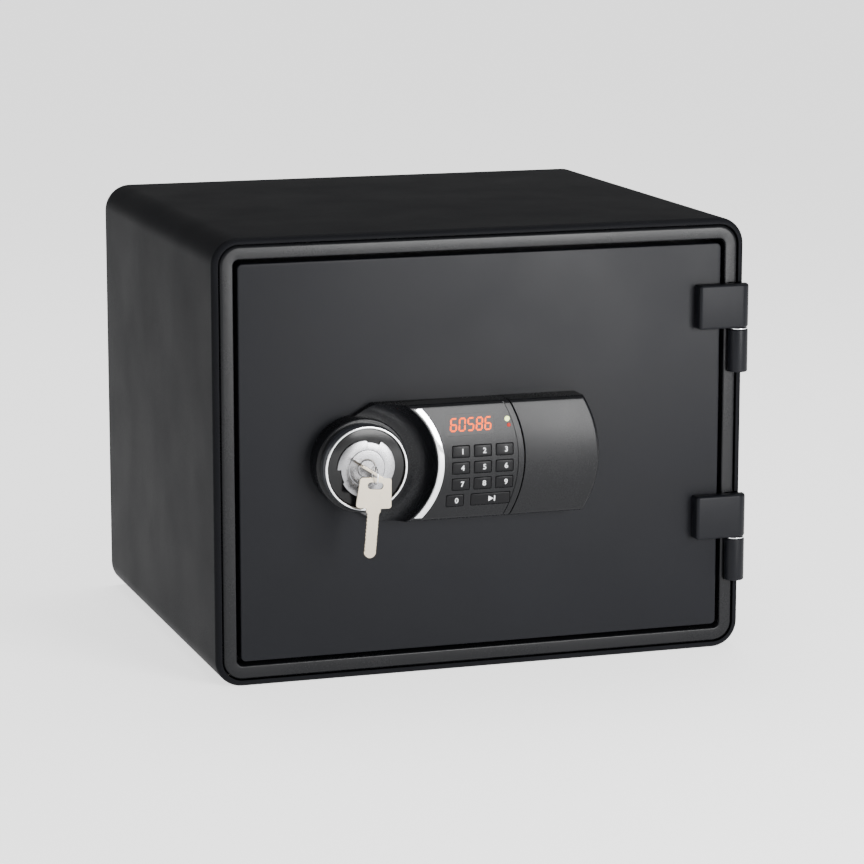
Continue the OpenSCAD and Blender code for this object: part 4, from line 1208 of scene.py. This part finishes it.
@dataclass
class Studio:
    """Floor, daylight box and camera."""

    lens: float = 141.24
    sensor: float = 36.0
    spot: tuple[float, float, float] = (-0.8707, FRONT - 2.5307, 0.7094)
    azimuth: float = 18.084
    pitch: float = 10.886
    roll: float = -0.02

    def camera(self) -> None:
        """Stands the camera at its spot, looking across and down at the safe."""
        data = bpy.data.cameras.new("camera")
        data.lens, data.sensor_width = self.lens, self.sensor
        data.clip_start, data.clip_end = 0.05, 200
        cam = bpy.data.objects.new("camera", data)
        cam.location = self.spot
        cam.rotation_euler = (math.radians(90 - self.pitch), math.radians(self.roll),
                              math.radians(-self.azimuth))
        bpy.context.scene.collection.objects.link(cam)
        bpy.context.scene.camera = cam

    def floor(self) -> None:
        """Lays a wide pale floor with a faint mottle."""
        sheet = brick((-30000, -30000, -20), (30000, 30000, 0))
        obj = mesh_object("floor", sheet)
        bench = NodeBench("pale floor")
        tone = bench.noise(0.8, 3)
        bench.feed(bench.shader.inputs["Base Color"], bench.blend(tone, (0.86,) * 3, (0.90,) * 3))
        bench.shader.inputs["Roughness"].default_value = 0.85
        bench.shader.inputs["Emission Color"].default_value = (1, 1, 1, 1)
        bench.shader.inputs["Emission Strength"].default_value = 1.5
        obj.data.materials.append(bench.material)

    def lamp(self, name: str, spot: Sequence[float], aim: Sequence[float], size: Sequence[float],
             power: float) -> None:
        """Hangs one rectangular soft box, turned towards a point."""
        data = bpy.data.lights.new(name, "AREA")
        data.shape, data.size, data.size_y, data.energy = "RECTANGLE", size[0], size[1], power
        obj = bpy.data.objects.new(name, data)
        obj.location = spot
        gap = [a - s for a, s in zip(aim, spot)]
        flat = math.hypot(gap[0], gap[1])
        obj.rotation_euler = (math.atan2(flat, -gap[2]), 0, math.atan2(-gap[0], gap[1]))
        bpy.context.scene.collection.objects.link(obj)

    def sky(self, strength: float) -> None:
        """Surrounds the room with even white light."""
        world = bpy.data.worlds.new("room light")
        bpy.context.scene.world = world
        world.use_nodes = True
        nodes = world.node_tree.nodes
        back = nodes.get("Background") or nodes.new("ShaderNodeBackground")
        back.inputs["Color"].default_value = (1, 1, 1, 1)
        back.inputs["Strength"].default_value = strength
        out = next(n for n in world.node_tree.nodes if n.type == "OUTPUT_WORLD")
        world.node_tree.links.new(back.outputs[0], out.inputs["Surface"])

    def build(self) -> None:
        """Lights the room."""
        self.floor()
        self.sky(0.4)
        self.lamp("left_box", (-2.3, -0.9, 0.7), (-0.1, FRONT, 0.2), (0.7, 1.1), 9)
        self.lamp("front_box", (0.62, -1.75, 0.52), (0.05, FRONT, 0.26), (0.8, 0.8), 50)
        self.lamp("top_box", (0.2, 0.7, 2.2), (0, 0, 0.3), (1.8, 1.0), 25)


def dress_the_rest() -> None:
    """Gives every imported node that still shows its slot's finish."""
    slots = {entry["node"]: entry["material_slot"] for entry in frame["record"]["subparts"]}
    for name, node in frame["nodes"].items():
        paint = paints[slots[name]]
        if not node.material_slots:
            node.data.materials.append(paint)
        for place in node.material_slots:
            place.material = paint
        if not node.hide_render:
            log.info("%s keeps its packed shape, in %s", name, paint.name)


def main() -> None:
    """Builds the camera, the room and every sub-assembly."""
    logging.basicConfig(level=logging.INFO, format="%(name)s: %(message)s")
    studio = Studio()
    studio.camera()
    studio.build()
    housing = Housing()
    keypad = Keypad(housing)
    housing.keys = keypad.places()
    for part in (Body(), Hinges(), Door(), housing, keypad, Knob(), Keys()):
        part.build()
    dress_the_rest()
    bpy.context.view_layer.update()


if __name__ == "__main__":
    main()
